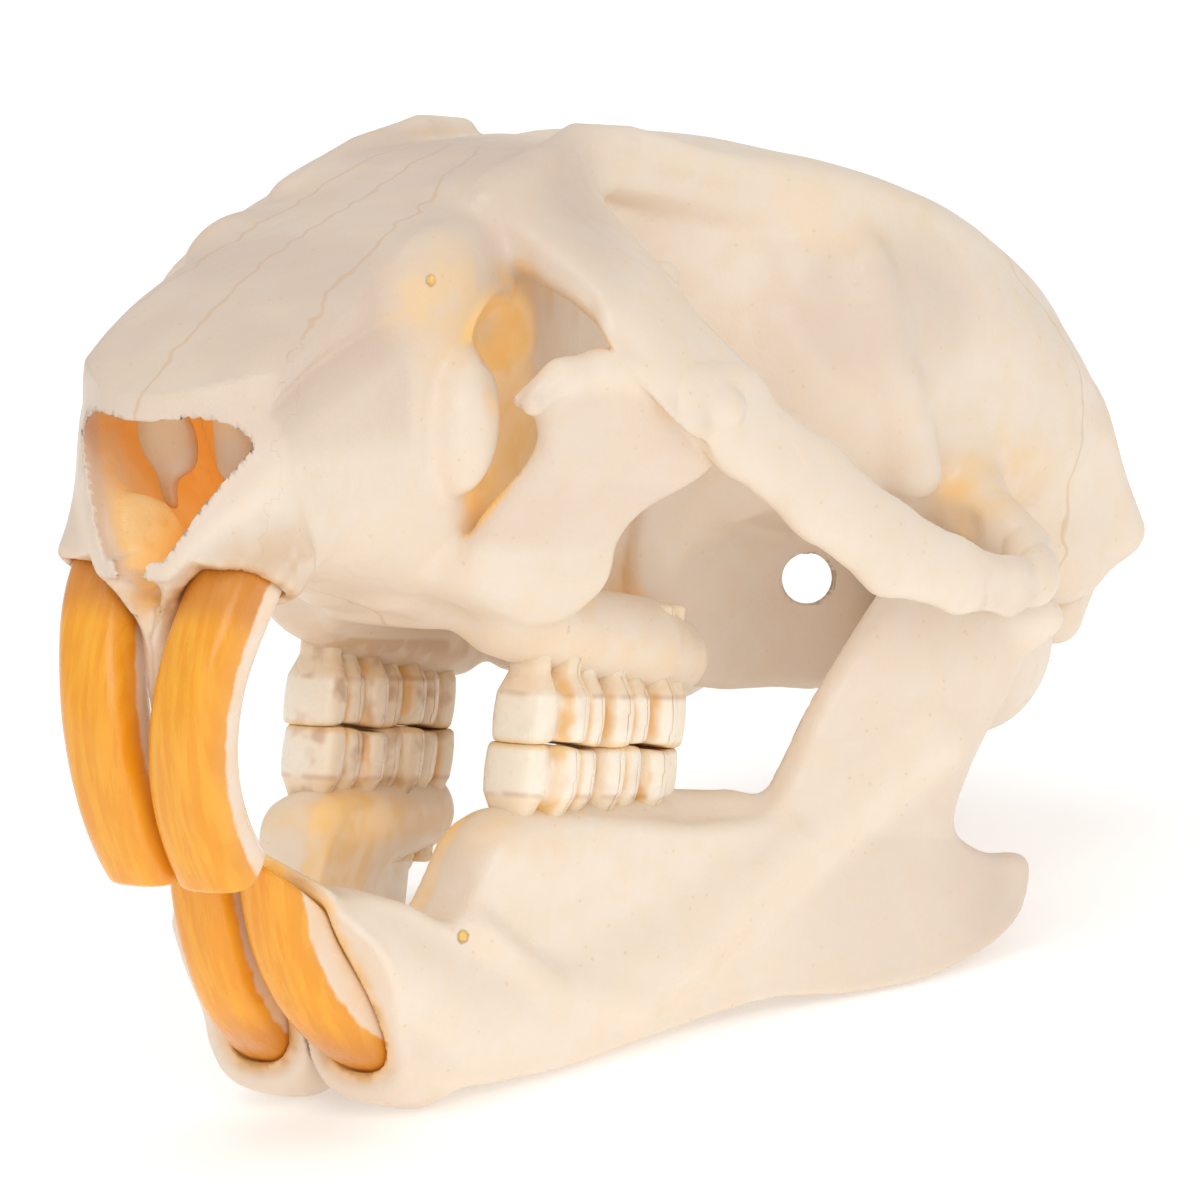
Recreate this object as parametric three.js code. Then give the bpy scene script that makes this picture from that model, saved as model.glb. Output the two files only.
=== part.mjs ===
// Skull of a hispid cotton rat (Sigmodon hispidus), cleaned bone, jaws closed, resting on its lower jaw.
// It is built in the skull's own frame: the snout points along -Y and the animal's left is +X. Y = 0
// is at the upper incisors and Z = 0 is the plane where the cheek teeth meet. At the end the whole
// skull is pitched nose up and lifted until the chin and both jaw angles stand on the floor, Z = 0.
// Every bone is a field, negative inside, built from profile curves, rods, ellipsoids and curved
// sheets that blend into one another; its zero surface is turned into triangles and then thinned out.
import * as THREE from "three";

// Sizes in millimetres
const SKULL_LENGTH_END = 34.4;
const UPPER_CROWN_END = -0.02;
const LOWER_CROWN_END = -0.34;
const JOINT_GAP = 0.3;
const REST_PITCH_DEG = 15;
const UPPER_INCISOR = { centre: [5.55, 0.75], outer: 6.0, inner: 4.15, width: 1.7 };
const LOWER_INCISOR = { centre: [9.6, -2.2], outer: 5.9, inner: 4.1, width: 1.62 };
const INCISOR_ROUNDNESS = 2.9;
const SOCKET_REACH = 0.7;
const SOCKET_COLLAR = 0.45;
const SOCKET_TOP = 5.2;
const BRAINCASE_WALL = 0.85;
const ROSTRUM_WALL = 0.45;
const NOSE_FLOOR = 2.7;
const NOSE_DEPTH = 5.5;
const PLATE_HALF = 0.34;
const PTERYGOID_HALF = 0.3;
const FORAMEN_RADIUS = 1.75;
const FORAMEN_Z = 6.5;
const MOLAR_LOBES = [11.6, 12.4, 13.2, 14.2, 15.0, 15.95, 16.75];
const MOLAR_LOBE_LENGTH = 0.47;
const MOLAR_NECK = 1.15;
const SECTION_POWER = 2.6;
const SHEET_EDGE = 0.35;
const JUGAL_FRONT = 14.0;
const JUGAL_BACK = 20.3;

// Field helpers
const clamp = (v, low, high) => Math.min(Math.max(v, low), high);
const TABLE_STEP = 0.05;

// Smallest and largest of two fields, rounded over a distance k where they meet.
function join(a, b, k = 0.4) {
  const h = Math.max(k - Math.abs(a - b), 0) / k;
  return Math.min(a, b) - (h * h * k) / 4;
}
const trim = (a, b, k = 0.2) => -join(-a, -b, k);

// A smooth curve through [position, value] pairs, flat beyond its ends.
function curve(...knots) {
  const last = knots.length - 1;
  const slope = knots.map((_, i) => {
    const a = knots[Math.max(i - 1, 0)];
    const b = knots[Math.min(i + 1, last)];
    return (b[1] - a[1]) / (b[0] - a[0]);
  });
  const start = knots[0][0];
  const count = Math.ceil((knots[last][0] - start) / TABLE_STEP) + 1;
  const table = new Float64Array(count + 1);
  for (let n = 0; n <= count; n++) {
    const s = clamp(start + n * TABLE_STEP, start, knots[last][0]);
    let i = 0;
    while (i < last - 1 && knots[i + 1][0] < s) i++;
    const h = knots[i + 1][0] - knots[i][0];
    const t = (s - knots[i][0]) / h;
    table[n] =
      (1 + 2 * t) * (1 - t) ** 2 * knots[i][1] +
      t * (1 - t) ** 2 * h * slope[i] +
      t * t * (3 - 2 * t) * knots[i + 1][1] -
      t * t * (1 - t) * h * slope[i + 1];
  }
  return (s) => {
    const q = clamp((s - start) / TABLE_STEP, 0, count - 1e-6);
    const n = Math.floor(q);
    return table[n] + (table[n + 1] - table[n]) * (q - n);
  };
}

// A tube along Y whose section is a superellipse: half-width, top and bottom follow curves of y.
function loft({ wide, top, bottom, middle = 0.5, power: sharpness = () => SECTION_POWER }) {
  return (x, y, z) => {
    const w = wide(y);
    const power = sharpness(y);
    const t = top(y);
    const b = bottom(y);
    const c = b + (t - b) * middle;
    const h = z > c ? t - c : c - b;
    const f = ((Math.abs(x) / w) ** power + (Math.abs(z - c) / h) ** power) ** (1 / power) + 1e-6;
    return Math.hypot(x, z - c) * (1 - 1 / f);
  };
}

// A rod through [x, y, z, radius] points; squash divides its thickness along each axis, and
// soft rounds the places where one stretch meets the next.
function rod(points, { squash = [1, 1, 1], soft = 0 } = {}) {
  return (x, y, z) => {
    let best = Infinity;
    for (let i = 0; i + 1 < points.length; i++) {
      const [ax, ay, az, ar] = points[i];
      const [bx, by, bz, br] = points[i + 1];
      const dx = bx - ax;
      const dy = by - ay;
      const dz = bz - az;
      const px = x - ax;
      const py = y - ay;
      const pz = z - az;
      const t = clamp((px * dx + py * dy + pz * dz) / (dx * dx + dy * dy + dz * dz), 0, 1);
      const away = Math.hypot(
        (px - dx * t) * squash[0],
        (py - dy * t) * squash[1],
        (pz - dz * t) * squash[2],
      );
      const near = away - ar - (br - ar) * t;
      best = soft && i ? join(best, near, soft) : Math.min(best, near);
    }
    return best;
  };
}

// A flattened bar that runs out along X from inner to outer, its YZ section a superellipse.
function strut({ centreY, centreZ, halfY, halfZ, inner, outer, power = SECTION_POWER }) {
  return (x, y, z) => {
    const along = y - centreY(x);
    const up = z - centreZ(x);
    const f = ((Math.abs(along) / halfY(x)) ** power + (Math.abs(up) / halfZ(x)) ** power) ** (1 / power);
    const section = Math.hypot(along, up) * (1 - 1 / (f + 1e-6)) * 0.8;
    return trim(section, Math.max(inner - x, x - outer), 0.6);
  };
}

// An ellipsoid, turned about Z by yaw radians.
function blob([cx, cy, cz], [rx, ry, rz], yaw = 0) {
  const c = Math.cos(yaw);
  const s = Math.sin(yaw);
  return (x, y, z) => {
    const px = (x - cx) * c + (y - cy) * s;
    const py = (y - cy) * c - (x - cx) * s;
    const pz = z - cz;
    const k = Math.hypot(px / rx, py / ry, pz / rz);
    const g = Math.hypot(px / rx ** 2, py / ry ** 2, pz / rz ** 2) + 1e-6;
    return (k * (k - 1)) / g;
  };
}

// Signed distance in the YZ plane to a smooth closed outline, looked up in a table.
function outline(points) {
  const path = new THREE.CatmullRomCurve3(
    points.map(([y, z]) => new THREE.Vector3(y, z, 0)),
    true,
  ).getPoints(points.length * 6);
  const step = 0.15;
  const ys = points.map((p) => p[0]);
  const zs = points.map((p) => p[1]);
  const y0 = Math.min(...ys) - 3;
  const z0 = Math.min(...zs) - 3;
  const ny = Math.ceil((Math.max(...ys) + 3 - y0) / step) + 1;
  const nz = Math.ceil((Math.max(...zs) + 3 - z0) / step) + 1;
  const table = new Float64Array(ny * nz);
  for (let j = 0; j < nz; j++) {
    for (let i = 0; i < ny; i++) {
      const y = y0 + i * step;
      const z = z0 + j * step;
      let near = Infinity;
      let inside = false;
      for (let n = 0; n + 1 < path.length; n++) {
        const a = path[n];
        const b = path[n + 1];
        const ey = b.x - a.x;
        const ez = b.y - a.y;
        const t = clamp(((y - a.x) * ey + (z - a.y) * ez) / (ey * ey + ez * ez), 0, 1);
        near = Math.min(near, Math.hypot(y - a.x - ey * t, z - a.y - ez * t));
        if (a.y > z !== b.y > z && y < a.x + (ey * (z - a.y)) / ez) inside = !inside;
      }
      table[j * ny + i] = inside ? -near : near;
    }
  }
  return (y, z) => {
    const p = clamp((y - y0) / step, 0, ny - 1.001);
    const q = clamp((z - z0) / step, 0, nz - 1.001);
    const i = Math.floor(p);
    const j = Math.floor(q);
    const a = table[j * ny + i] * (1 - p + i) + table[j * ny + i + 1] * (p - i);
    const b = table[(j + 1) * ny + i] * (1 - p + i) + table[(j + 1) * ny + i + 1] * (p - i);
    return a * (1 - q + j) + b * (q - j);
  };
}

// A curved sheet: centre(y, z) is its X, half(y, z) its half thickness, shape its outline.
function sheet(shape, centre, half) {
  return (x, y, z) => trim(Math.abs(x - centre(y, z)) - half(y, z), shape(y, z), SHEET_EDGE);
}

// Incisors: arcs of a ring in the YZ plane, flat-sided, with a worn chisel edge
function incisor({ centre: [cy, cz], outer, inner, width }, from, to, middleX, chisel) {
  return (x, y, z) => {
    const r = Math.hypot(y - cy, z - cz);
    const angle = Math.atan2(z - cz, cy - y);
    const depth = (outer - inner) / 2;
    const half = width / 2;
    const u = Math.abs(x - middleX(angle)) / half;
    const v = Math.abs(r - (outer + inner) / 2) / depth;
    const f = (u ** INCISOR_ROUNDNESS + v ** INCISOR_ROUNDNESS) ** (1 / INCISOR_ROUNDNESS) + 1e-6;
    const section = Math.hypot(u * half, v * depth) * (1 - 1 / f);
    const ends = Math.max(from - angle, angle - to) * outer;
    return trim(trim(section, ends, 0.3), chisel(x, y, z), 0.15);
  };
}
const upperIncisor = incisor(
  UPPER_INCISOR,
  -0.95,
  0.76,
  curve([-0.95, 1.02], [-0.4, 1.1], [0, 1.3], [0.42, 1.65], [0.9, 1.7]),
  (x, y, z) => (y - 1.3) * 0.24 - (z + 3.85) * 0.97,
);
const lowerIncisor = incisor(
  LOWER_INCISOR,
  -1.5,
  0.05,
  curve([-1.5, 1.55], [-0.7, 1.05], [0, 0.97]),
  (x, y, z) => (z + 2.84 + 0.35 * (x - 0.6) + 0.45 * (y - 3.6)) * 0.87,
);

// Cheek teeth: one rounded column a lobe, waisted below the neck and sunk into the jaw
function molars(side, rootEnd, crownEnd) {
  const final = MOLAR_LOBES.length - 1;
  const lobes = MOLAR_LOBES.map((y, i) => ({
    x: 2.95 + (y - 11.5) * 0.06 + (i % 2 ? 0.1 : -0.06) + 0.05 * side,
    y,
    half: i === 0 || i === final ? 0.72 : 0.92 - 0.04 * (i % 2),
    blend: i === 3 || i === 5 ? 0.06 : 0.2,
  }));
  return (x, y, z) => {
    const up = side * (z - crownEnd);
    const waist = 0.26 * clamp((up - MOLAR_NECK) / 0.5, 0, 1);
    const bulge = 0.06 * Math.sin(clamp(up, 0, 1.6) * 2.6);
    const girth = 1.02 - waist + bulge;
    let best = Infinity;
    for (const lobe of lobes) {
      const half = lobe.half * girth;
      const long = MOLAR_LOBE_LENGTH * girth;
      const u = Math.abs(x - lobe.x) / half;
      const v = Math.abs(y - lobe.y - 0.08 * up * side) / long;
      const f = (u ** SECTION_POWER + v ** SECTION_POWER) ** (1 / SECTION_POWER) + 1e-6;
      best = join(best, Math.hypot(u * half, v * long) * (1 - 1 / f), lobe.blend);
    }
    return trim(best, Math.max(side * (crownEnd - z), side * (z - rootEnd)), 0.16);
  };
}
const upperMolars = molars(1, 3.2, UPPER_CROWN_END);
const lowerMolars = molars(-1, -3.4, LOWER_CROWN_END);

// Rostrum, nasal opening and the column between the eye sockets
const rostrumTop = curve(
  [-1, 7.1], [0, 7.95], [2.4, 9.62], [4.8, 10.85], [7.3, 11.9], [9.5, 12.8], [11.5, 13.4], [14, 13.8],
);
const rostrumTube = loft({
  wide: curve([-0.6, 2.75], [1, 2.95], [3, 3.05], [5, 3.15], [8, 3.25], [11, 3.0], [13.5, 2.4]),
  top: rostrumTop,
  bottom: curve([-0.6, 3.3], [1.6, 3.1], [2.4, 2.5], [3.2, 2.9], [4.4, 3.4], [8, 3.0], [10, 2.6]),
  middle: 0.45,
  power: curve([-1, 2.3], [4, 2.5], [8, 3.0], [12, 3.2]),
});
const apertureHalf = curve(
  [2.6, 0.1], [3.0, 0.35], [3.5, 0.62], [4.2, 1.05], [5.2, 1.6], [6.4, 2.3], [7.4, 2.7],
);
const nasalChamber = (x, y, z) =>
  Math.max(rostrumTube(x, y, z) + ROSTRUM_WALL, x - apertureHalf(z), y - NOSE_DEPTH, NOSE_FLOOR - z);
const aperture = (x, y, z) => Math.max(nasalChamber(x, y, z), 0.6 - upperIncisor(x, y, z));
const socketRim = (x, y) => 3.7 - 0.35 * y - 1.3 * Math.max(1.4 - x, 0);
const turbinates = rod([
  [0.75, 1.9, 7.6, 0.35], [0.8, 1.6, 6.2, 0.42], [1.0, 2.6, 5.0, 0.4], [1.6, 3.6, 5.0, 0.5],
]);
const septum = rod([[0, 0.6, 3.3, 0.5], [0, 0.75, 1.8, 0.42], [0, 1.0, 0.2, 0.25], [0, 1.15, -1.0, 0.1]]);
const frontal = loft({
  wide: curve([10, 2.6], [13, 2.15], [16, 2.0], [18, 2.6], [20, 4.6]),
  top: curve([10, 12.9], [11.5, 13.4], [15, 13.9], [20, 14.2]),
  bottom: curve([10, 2.4], [14, 2.6], [18, 3.0], [19, 4.4], [21, 5.2]),
  power: () => 4,
});
const roof = loft({
  wide: curve(
    [-1, 2.5], [2, 2.75], [9, 2.8], [12, 2.85], [15.4, 2.65], [17.2, 3.4], [19.3, 4.85], [21.3, 5.65],
    [24, 6.05], [27, 6.1], [30, 5.7], [31.6, 4.9],
  ),
  top: curve(
    [-1, 7.1], [0, 7.95], [2.4, 9.62], [4.8, 10.85], [7.3, 11.9], [9.5, 12.85], [11.5, 13.5], [15, 13.95],
    [20, 14.1], [24, 13.65], [27, 12.8], [30, 11.5], [32, 10.05],
  ),
  bottom: curve(
    [-1, 6], [2.4, 8.3], [7.3, 10.3], [12, 12.0], [15, 12.6], [20, 11.6], [24, 10.4], [27, 9.4],
    [31.6, 8.4],
  ),
  power: () => 3.6,
});

// Braincase, crests and occiput
const braincaseTube = loft({
  wide: curve(
    [16, 2.0], [17.6, 3.6], [19.3, 5.6], [21, 6.6], [24, 7.0], [28, 7.1], [31, 6.7], [33, 5.9], [34.6, 4.4],
  ),
  top: curve(
    [16, 13.8], [20, 13.95], [24, 13.55], [27, 12.7], [30, 11.4], [32, 9.9], [33.4, 8.65], [34.6, 7.35],
  ),
  bottom: curve([16, 7.5], [18, 6], [20, 5.1], [24, 4.7], [30, 4.5], [34.6, 4.5]),
  middle: 0.5,
  power: () => 2.7,
});
const braincase = (x, y, z) =>
  trim(braincaseTube(x, y, z), Math.max(16.3 - y, y - SKULL_LENGTH_END + 0.1 * (z - 6)), 0.8);
const brainCavity = (x, y, z) =>
  trim(braincaseTube(x, y, z) + BRAINCASE_WALL, Math.max(18.6 - y, y - 33.1), 1.2);
const foramenMagnum = (x, y, z) =>
  Math.max(Math.hypot(x / 1.15, z - FORAMEN_Z) - FORAMEN_RADIUS, 31 - y);
const lambdoid = rod([
  [0, 32.45, 9.95, 0.4], [2.8, 32.15, 9.75, 0.4], [5.0, 31.55, 9.15, 0.4], [6.4, 31.2, 7.55, 0.4],
  [6.5, 32.6, 5.4, 0.6],
]);
const brow = rod([
  [2.75, 9.0, 12.3, 0.3], [2.55, 11.5, 13.35, 0.4], [2.2, 13.5, 13.95, 0.42], [2.35, 15.5, 14.0, 0.4],
  [3.4, 17.8, 13.6, 0.36], [4.9, 20.3, 12.75, 0.32], [5.9, 23.5, 11.7, 0.25],
]);
const condyle = blob([1.9, 34.7, 4.9], [0.85, 0.8, 1.2]);
const paroccipital = rod([[5.3, 32.2, 5.0, 1.0], [5.2, 31.9, 3.2, 0.7]]);
const mastoid = blob([5.7, 31.0, 5.2], [1.2, 2.0, 1.7]);
const squamosalRidge = rod([[6.0, 20.6, 11.6, 0.4], [6.5, 21.2, 9, 0.45], [6.6, 22.6, 6.6, 0.6]]);

// Palate, tooth sockets and the wings behind them
const alveolus = rod([
  [2.6, 10.8, 2.8, 0.95], [2.95, 13, 2.5, 1.1], [3.15, 16, 2.2, 1.15], [3.1, 17.6, 1.95, 0.9],
]);
const palate = rod([[0.9, 8.5, 3.3, 0.5], [1.2, 12, 3.2, 0.55], [1.3, 18.2, 3.3, 0.55]]);
const pterygoid = sheet(
  outline([
    [17, 3.4], [18.2, 1.5], [20.5, 1.15], [23, 1.2], [25.4, 1.3], [26.7, 2.4], [26.9, 4.3], [25.6, 5.6],
    [17.5, 6.4],
  ]),
  (y) => 2.35 + (y - 18) * 0.06,
  () => PTERYGOID_HALF,
);
const sightline = rod([[5, 20.6, 3.9, 0.62], [0, 28.5, 3.8, 0.62], [4.2, 35, 3.6, 0.7]]);

// Zygomatic arch: plate in front, lacrimal root above it, the bar, and the root on the squamosal
const plateLean = curve([3, 2.7], [4.9, 3.45], [6.4, 4.6], [7.8, 5.4], [8.9, 5.6]);
const PLATE_DISH = 0.3;
const PLATE_DISH_Z = 7.45;
const plateX = (y, z) => {
  const below = (z - PLATE_DISH_Z + 0.12 * (y - 9)) / 0.8;
  return plateLean(z) + 0.42 * (y - 7.9) - PLATE_DISH * Math.exp(-(below ** 2));
};
const plate = sheet(
  outline([
    [7.4, 7.85], [7.95, 8.6], [8.9, 8.92], [10.4, 8.9], [12.2, 8.3], [13.4, 7.2], [12.8, 6.3], [11.9, 5.4],
    [11.7, 4.2], [11.4, 3.0], [9.6, 2.9], [8.5, 3.6], [8.25, 4.8], [8.35, 6.0], [8.45, 7.0], [8.1, 7.5],
  ]),
  plateX,
  () => PLATE_HALF,
);
const plateFoot = rod([[2.9, 8.9, 3.9, 0.8], [3.5, 10.4, 3.8, 0.95], [4.2, 11.5, 4.1, 0.7]]);
const rootSwelling = blob([2.8, 7.4, 10.3], [0.9, 2.2, 1.5]);
const cheekRoot = strut({
  centreY: curve([2.4, 11.7], [4.4, 11.1], [5.7, 10.95], [6.4, 11.0], [7.3, 12.4]),
  centreZ: curve([2.4, 12.15], [4.4, 11.1], [5.7, 10.3], [6.4, 9.5], [7.3, 8.1]),
  halfY: curve([2.4, 2.8], [4.4, 2.25], [5.7, 1.95], [6.4, 1.95], [7.3, 1.9]),
  halfZ: curve([2.4, 1.1], [4.4, 0.9], [5.7, 0.8], [6.4, 0.85], [7.3, 1.0]),
  inner: 1.5,
  outer: 7.6,
});
const rootKnob = blob([4.95, 13.5, 11.0], [0.4, 0.35, 0.45]);
const plateRim = rod(
  [
    [5.35, 7.45, 7.8, 0.28], [5.6, 8.2, 8.45, 0.36], [6.0, 9.2, 8.72, 0.38], [6.7, 10.7, 8.55, 0.42],
    [7.35, 12.3, 7.9, 0.6],
  ],
  { soft: 0.3 },
);
const canal = blob([4.3, 9.9, 7.2], [1.25, 2.7, 2.5]);
const archBar = rod(
  [
    [6.4, 11.6, 8.6, 0.9], [7.3, 13.3, 7.5, 1.05], [8.3, 15.2, 6.2, 1.12], [9.1, 17.3, 4.9, 1.05],
    [9.7, 19.6, 4.3, 0.8], [9.95, 21.6, 4.1, 0.62], [9.85, 23.2, 4.3, 0.6],
  ],
  { squash: [2, 1, 1], soft: 0.4 },
);
const archBack = rod([
  [9.75, 23.0, 4.35, 0.5], [8.8, 24.2, 5.0, 0.6], [7.3, 24.8, 5.6, 0.8], [6.3, 25.2, 6.2, 1.1],
]);
const capsule = blob([3.35, 7.5, 7.3], [0.85, 1.0, 1.7]);
const infraorbital = blob([3.95, 9.3, 9.4], [1.35, 1.75, 1.0]);
const canalMouth = blob([4.7, 11.0, 9.1], [0.95, 3.0, 0.75], -0.3);
const glenoidHollow = blob([7.0, 23.6, 5.4], [0.7, 0.6, 0.55]);
const earHole = blob([6.9, 27.6, 4.9], [1.2, 1.0, 0.9]);
const bulla = blob([4.75, 28.5, 2.65], [2.05, 3.0, 2.4], 0.35);

// The bar without the jugal: a slanting cut at each end leaves the joint gap
const jugalSpan = (x, y, z) =>
  Math.max(JUGAL_FRONT - y - 0.35 * (z - 7), y - JUGAL_BACK + 0.5 * (z - 4.3)) / 1.1;
const jugal = (x, y, z) => trim(archBar(x, y, z), jugalSpan(x, y, z), 0.15);

// The whole cranium, joined bone by bone; the last number of each join is the radius of its blend
const cranium = (sx, y, z) => {
  const x = Math.abs(sx);
  const front = 0.22 * x * x - 0.75 - y;
  const vault = trim(roof(x, y, z), y - 31.8, 0.5);
  let bone = join(trim(rostrumTube(x, y, z), y - 14, 0.3), vault, 0.6);
  bone = trim(bone, front, 0.3);
  bone = join(bone, trim(frontal(x, y, z), Math.max(10 - y, y - 20), 0.5), 0.6);
  bone = join(bone, rootSwelling(x, y, z), 0.8);
  bone = join(bone, brow(x, y, z), 0.5);
  bone = trim(bone, -canal(x, y, z), 0.4);
  bone = join(bone, capsule(x, y, z), 0.35);
  bone = Math.max(bone, -aperture(x, y, z));
  const tooth = upperIncisor(x, y, z);
  const rim = socketRim(x, y);
  bone = join(bone, trim(tooth - SOCKET_REACH, Math.max(rim + 0.1 - z, z - SOCKET_TOP), 0.3), 0.5);
  bone = trim(bone, -trim(tooth - SOCKET_REACH - SOCKET_COLLAR, z - rim, 0.1), 0.12);
  bone = join(bone, Math.max(turbinates(x, y, z), rostrumTube(x, y, z)), 0.3);
  bone = join(bone, septum(x, y, z), 0.4);
  bone = join(bone, braincase(x, y, z), 0.9);
  bone = join(bone, lambdoid(x, y, z), 0.8);
  bone = join(bone, condyle(x, y, z), 0.5);
  bone = join(bone, Math.min(paroccipital(x, y, z), mastoid(x, y, z)), 0.8);
  bone = join(bone, squamosalRidge(x, y, z), 0.8);
  bone = join(bone, alveolus(x, y, z), 0.8);
  bone = join(bone, palate(x, y, z), 0.5);
  bone = join(bone, pterygoid(x, y, z), 0.4);
  const root = join(cheekRoot(x, y, z), rootKnob(x, y, z), 0.3);
  bone = join(bone, join(archBar(x, y, z), join(archBack(x, y, z), root, 0.3), 0.5), 0.7);
  bone = trim(bone, -join(infraorbital(x, y, z), canalMouth(x, y, z)), 0.25);
  const zygoma = join(join(plate(x, y, z), plateRim(x, y, z), 0.25), plateFoot(x, y, z), 0.5);
  bone = join(bone, zygoma, clamp(0.9 - (z - 3.6) * 0.6, 0.15, 0.9));
  bone = join(bone, upperMolars(x, y, z), 0.15);
  bone = trim(bone, -Math.min(glenoidHollow(x, y, z), earHole(x, y, z)), 0.3);
  bone = Math.max(bone, -sightline(x, y, z), -foramenMagnum(x, y, z), -brainCavity(x, y, z));
  const parted = Math.min(tooth, bulla(x, y, z), jugal(x, y, z));
  return Math.max(bone, JOINT_GAP - parted);
};

// Lower jaw: a thick body round the incisor root, and a thin branch with three processes
const jawX = curve(
  [6, 1.3], [9, 2.0], [12, 2.8], [15, 3.8], [18, 5.2], [20, 6.3], [22.5, 7.6], [25.4, 8.5],
);
const jawHalf = curve([6, 0.9], [10, 0.95], [14, 0.85], [17, 0.6], [20, 0.36], [26, 0.3]);
const jawBranch = sheet(
  outline([
    [5.6, -5.2], [6.2, -4.0], [7.6, -3.9], [9.3, -4.3], [10.5, -2.6], [12, -2.0], [16.8, -1.9],
    [18.3, -1.6], [19.6, 1.15], [20.9, 3.6], [21.8, 4.9], [22.5, 4.5], [23.2, 3.6], [24.4, 3.65],
    [25.5, 3.4], [24.7, 1.8],
    [23.4, -0.5], [23.1, -1.8], [24.0, -2.35], [25.3, -2.45], [24.9, -3.8], [22.4, -5.2], [20.2, -5.8],
    [18.5, -6.0], [15.8, -6.9], [12.4, -7.8], [9.8, -8.1], [7.8, -7.4],
  ]),
  (y, z) => jawX(y) + 0.2 * Math.max(-2 - z, 0) * clamp((y - 17) / 5, 0, 1),
  jawHalf,
);
const jawRoot = rod([
  [1.45, 6.4, -5.2, 1.5], [2.1, 10, -6.6, 1.45], [3.0, 13, -6.3, 1.2], [4.2, 16, -5.0, 1.05],
  [5.9, 19.5, -2.2, 0.7], [7.45, 22.4, 0.2, 0.6],
]);
const jawSocket = rod([
  [2.6, 11.2, -2.7, 1.0], [3.0, 14, -2.5, 1.05], [3.4, 16.8, -2.2, 1.0], [4.4, 18.2, -1.95, 0.8],
]);
const jawRim = curve([-8.4, 7.9], [-7.4, 7.7], [-5.4, 6.5], [-4.3, 5.5], [-3.4, 4.9]);
const jawHead = blob([8.35, 25.2, 3.3], [0.65, 1.0, 0.6], -0.4);
const jaw = (x, y, z) => {
  let bone = join(jawBranch(x, y, z), jawRoot(x, y, z), 0.6);
  bone = join(bone, jawSocket(x, y, z), 0.7);
  bone = join(bone, jawHead(x, y, z), 0.5);
  bone = join(bone, lowerMolars(x, y, z), 0.15);
  const tooth = lowerIncisor(x, y, z);
  const front = jawRim(z) - y;
  bone = join(bone, trim(tooth - SOCKET_REACH, y - 10.5, 0.3), 0.4);
  bone = trim(bone, front * 0.8, 0.2);
  return Math.max(bone, JOINT_GAP - tooth, JOINT_GAP / 2 - x);
};

// Triangles: each cell of a grid is split into six tetrahedra, and the surface crosses them
const CORNERS = [0, 1, 2, 3, 4, 5, 6, 7].map((n) => [n & 1, (n >> 1) & 1, (n >> 2) & 1]);
const TETRAHEDRA = [[0, 1, 3, 7], [0, 3, 2, 7], [0, 2, 6, 7], [0, 6, 4, 7], [0, 4, 5, 7], [0, 5, 1, 7]];
function surface(field, low, high, step) {
  const [nx, ny, nz] = low.map((v, i) => Math.ceil((high[i] - v) / step) + 1);
  const value = new Float64Array(nx * ny * nz);
  const cell = (n) => [n % nx, Math.floor(n / nx) % ny, Math.floor(n / (nx * ny))];
  const place = (n) => cell(n).map((v, i) => low[i] + v * step);
  for (let n = 0; n < value.length; n++) value[n] = field(...place(n)) || 1e-9;
  const points = [];
  const faces = [];
  const seen = new Map();
  const cross = (a, b) => {
    const key = Math.min(a, b) * value.length + Math.max(a, b);
    if (!seen.has(key)) {
      const t = clamp(value[a] / (value[a] - value[b]), 0.04, 0.96);
      const p = place(a);
      const q = place(b);
      seen.set(key, points.push(p.map((v, i) => v + (q[i] - v) * t)) - 1);
    }
    return seen.get(key);
  };
  for (let k = 0; k + 1 < nz; k++) {
    for (let j = 0; j + 1 < ny; j++) {
      for (let i = 0; i + 1 < nx; i++) {
        const at = CORNERS.map(([a, b, c]) => i + a + nx * (j + b + ny * (k + c)));
        const below = at.filter((n) => value[n] < 0).length;
        if (below === 0 || below === 8) continue;
        for (const tetra of TETRAHEDRA) {
          const t = tetra.map((c) => at[c]);
          const ins = [0, 1, 2, 3].filter((c) => value[t[c]] < 0);
          const out = [0, 1, 2, 3].filter((c) => value[t[c]] >= 0);
          if (!ins.length || !out.length) continue;
          const order = [...ins, ...out];
          const swaps = order.map((v, a) => order.slice(a).filter((w) => w < v).length);
          const odd = swaps.reduce((sum, count) => sum + count, 0) % 2;
          const ring =
            ins.length === 2
              ? [[0, 0], [0, 1], [1, 1], [1, 0]].map(([a, b]) => cross(t[ins[a]], t[out[b]]))
              : ins.length === 1
                ? out.map((c) => cross(t[ins[0]], t[c]))
                : ins.map((c) => cross(t[c], t[out[0]]));
          if (odd) ring.reverse();
          faces.push([ring[0], ring[1], ring[2]]);
          if (ring.length === 4) faces.push([ring[0], ring[2], ring[3]]);
        }
      }
    }
  }
  return { points, faces };
}

// Keeps only the largest closed surface of a mesh
function largest({ points, faces }) {
  const parent = points.map((_, v) => v);
  const rootOf = (v) => {
    while (parent[v] !== v) v = parent[v] = parent[parent[v]];
    return v;
  };
  for (const [a, b, c] of faces) {
    parent[rootOf(a)] = rootOf(b);
    parent[rootOf(b)] = rootOf(c);
  }
  const size = new Map();
  for (const face of faces) size.set(rootOf(face[0]), (size.get(rootOf(face[0])) || 0) + 1);
  const most = Math.max(...size.values());
  return { points, faces: faces.filter((face) => size.get(rootOf(face[0])) === most) };
}

const LONG_EDGE_COST = 2e-4;
const SLIVER = 0.06;

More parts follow.
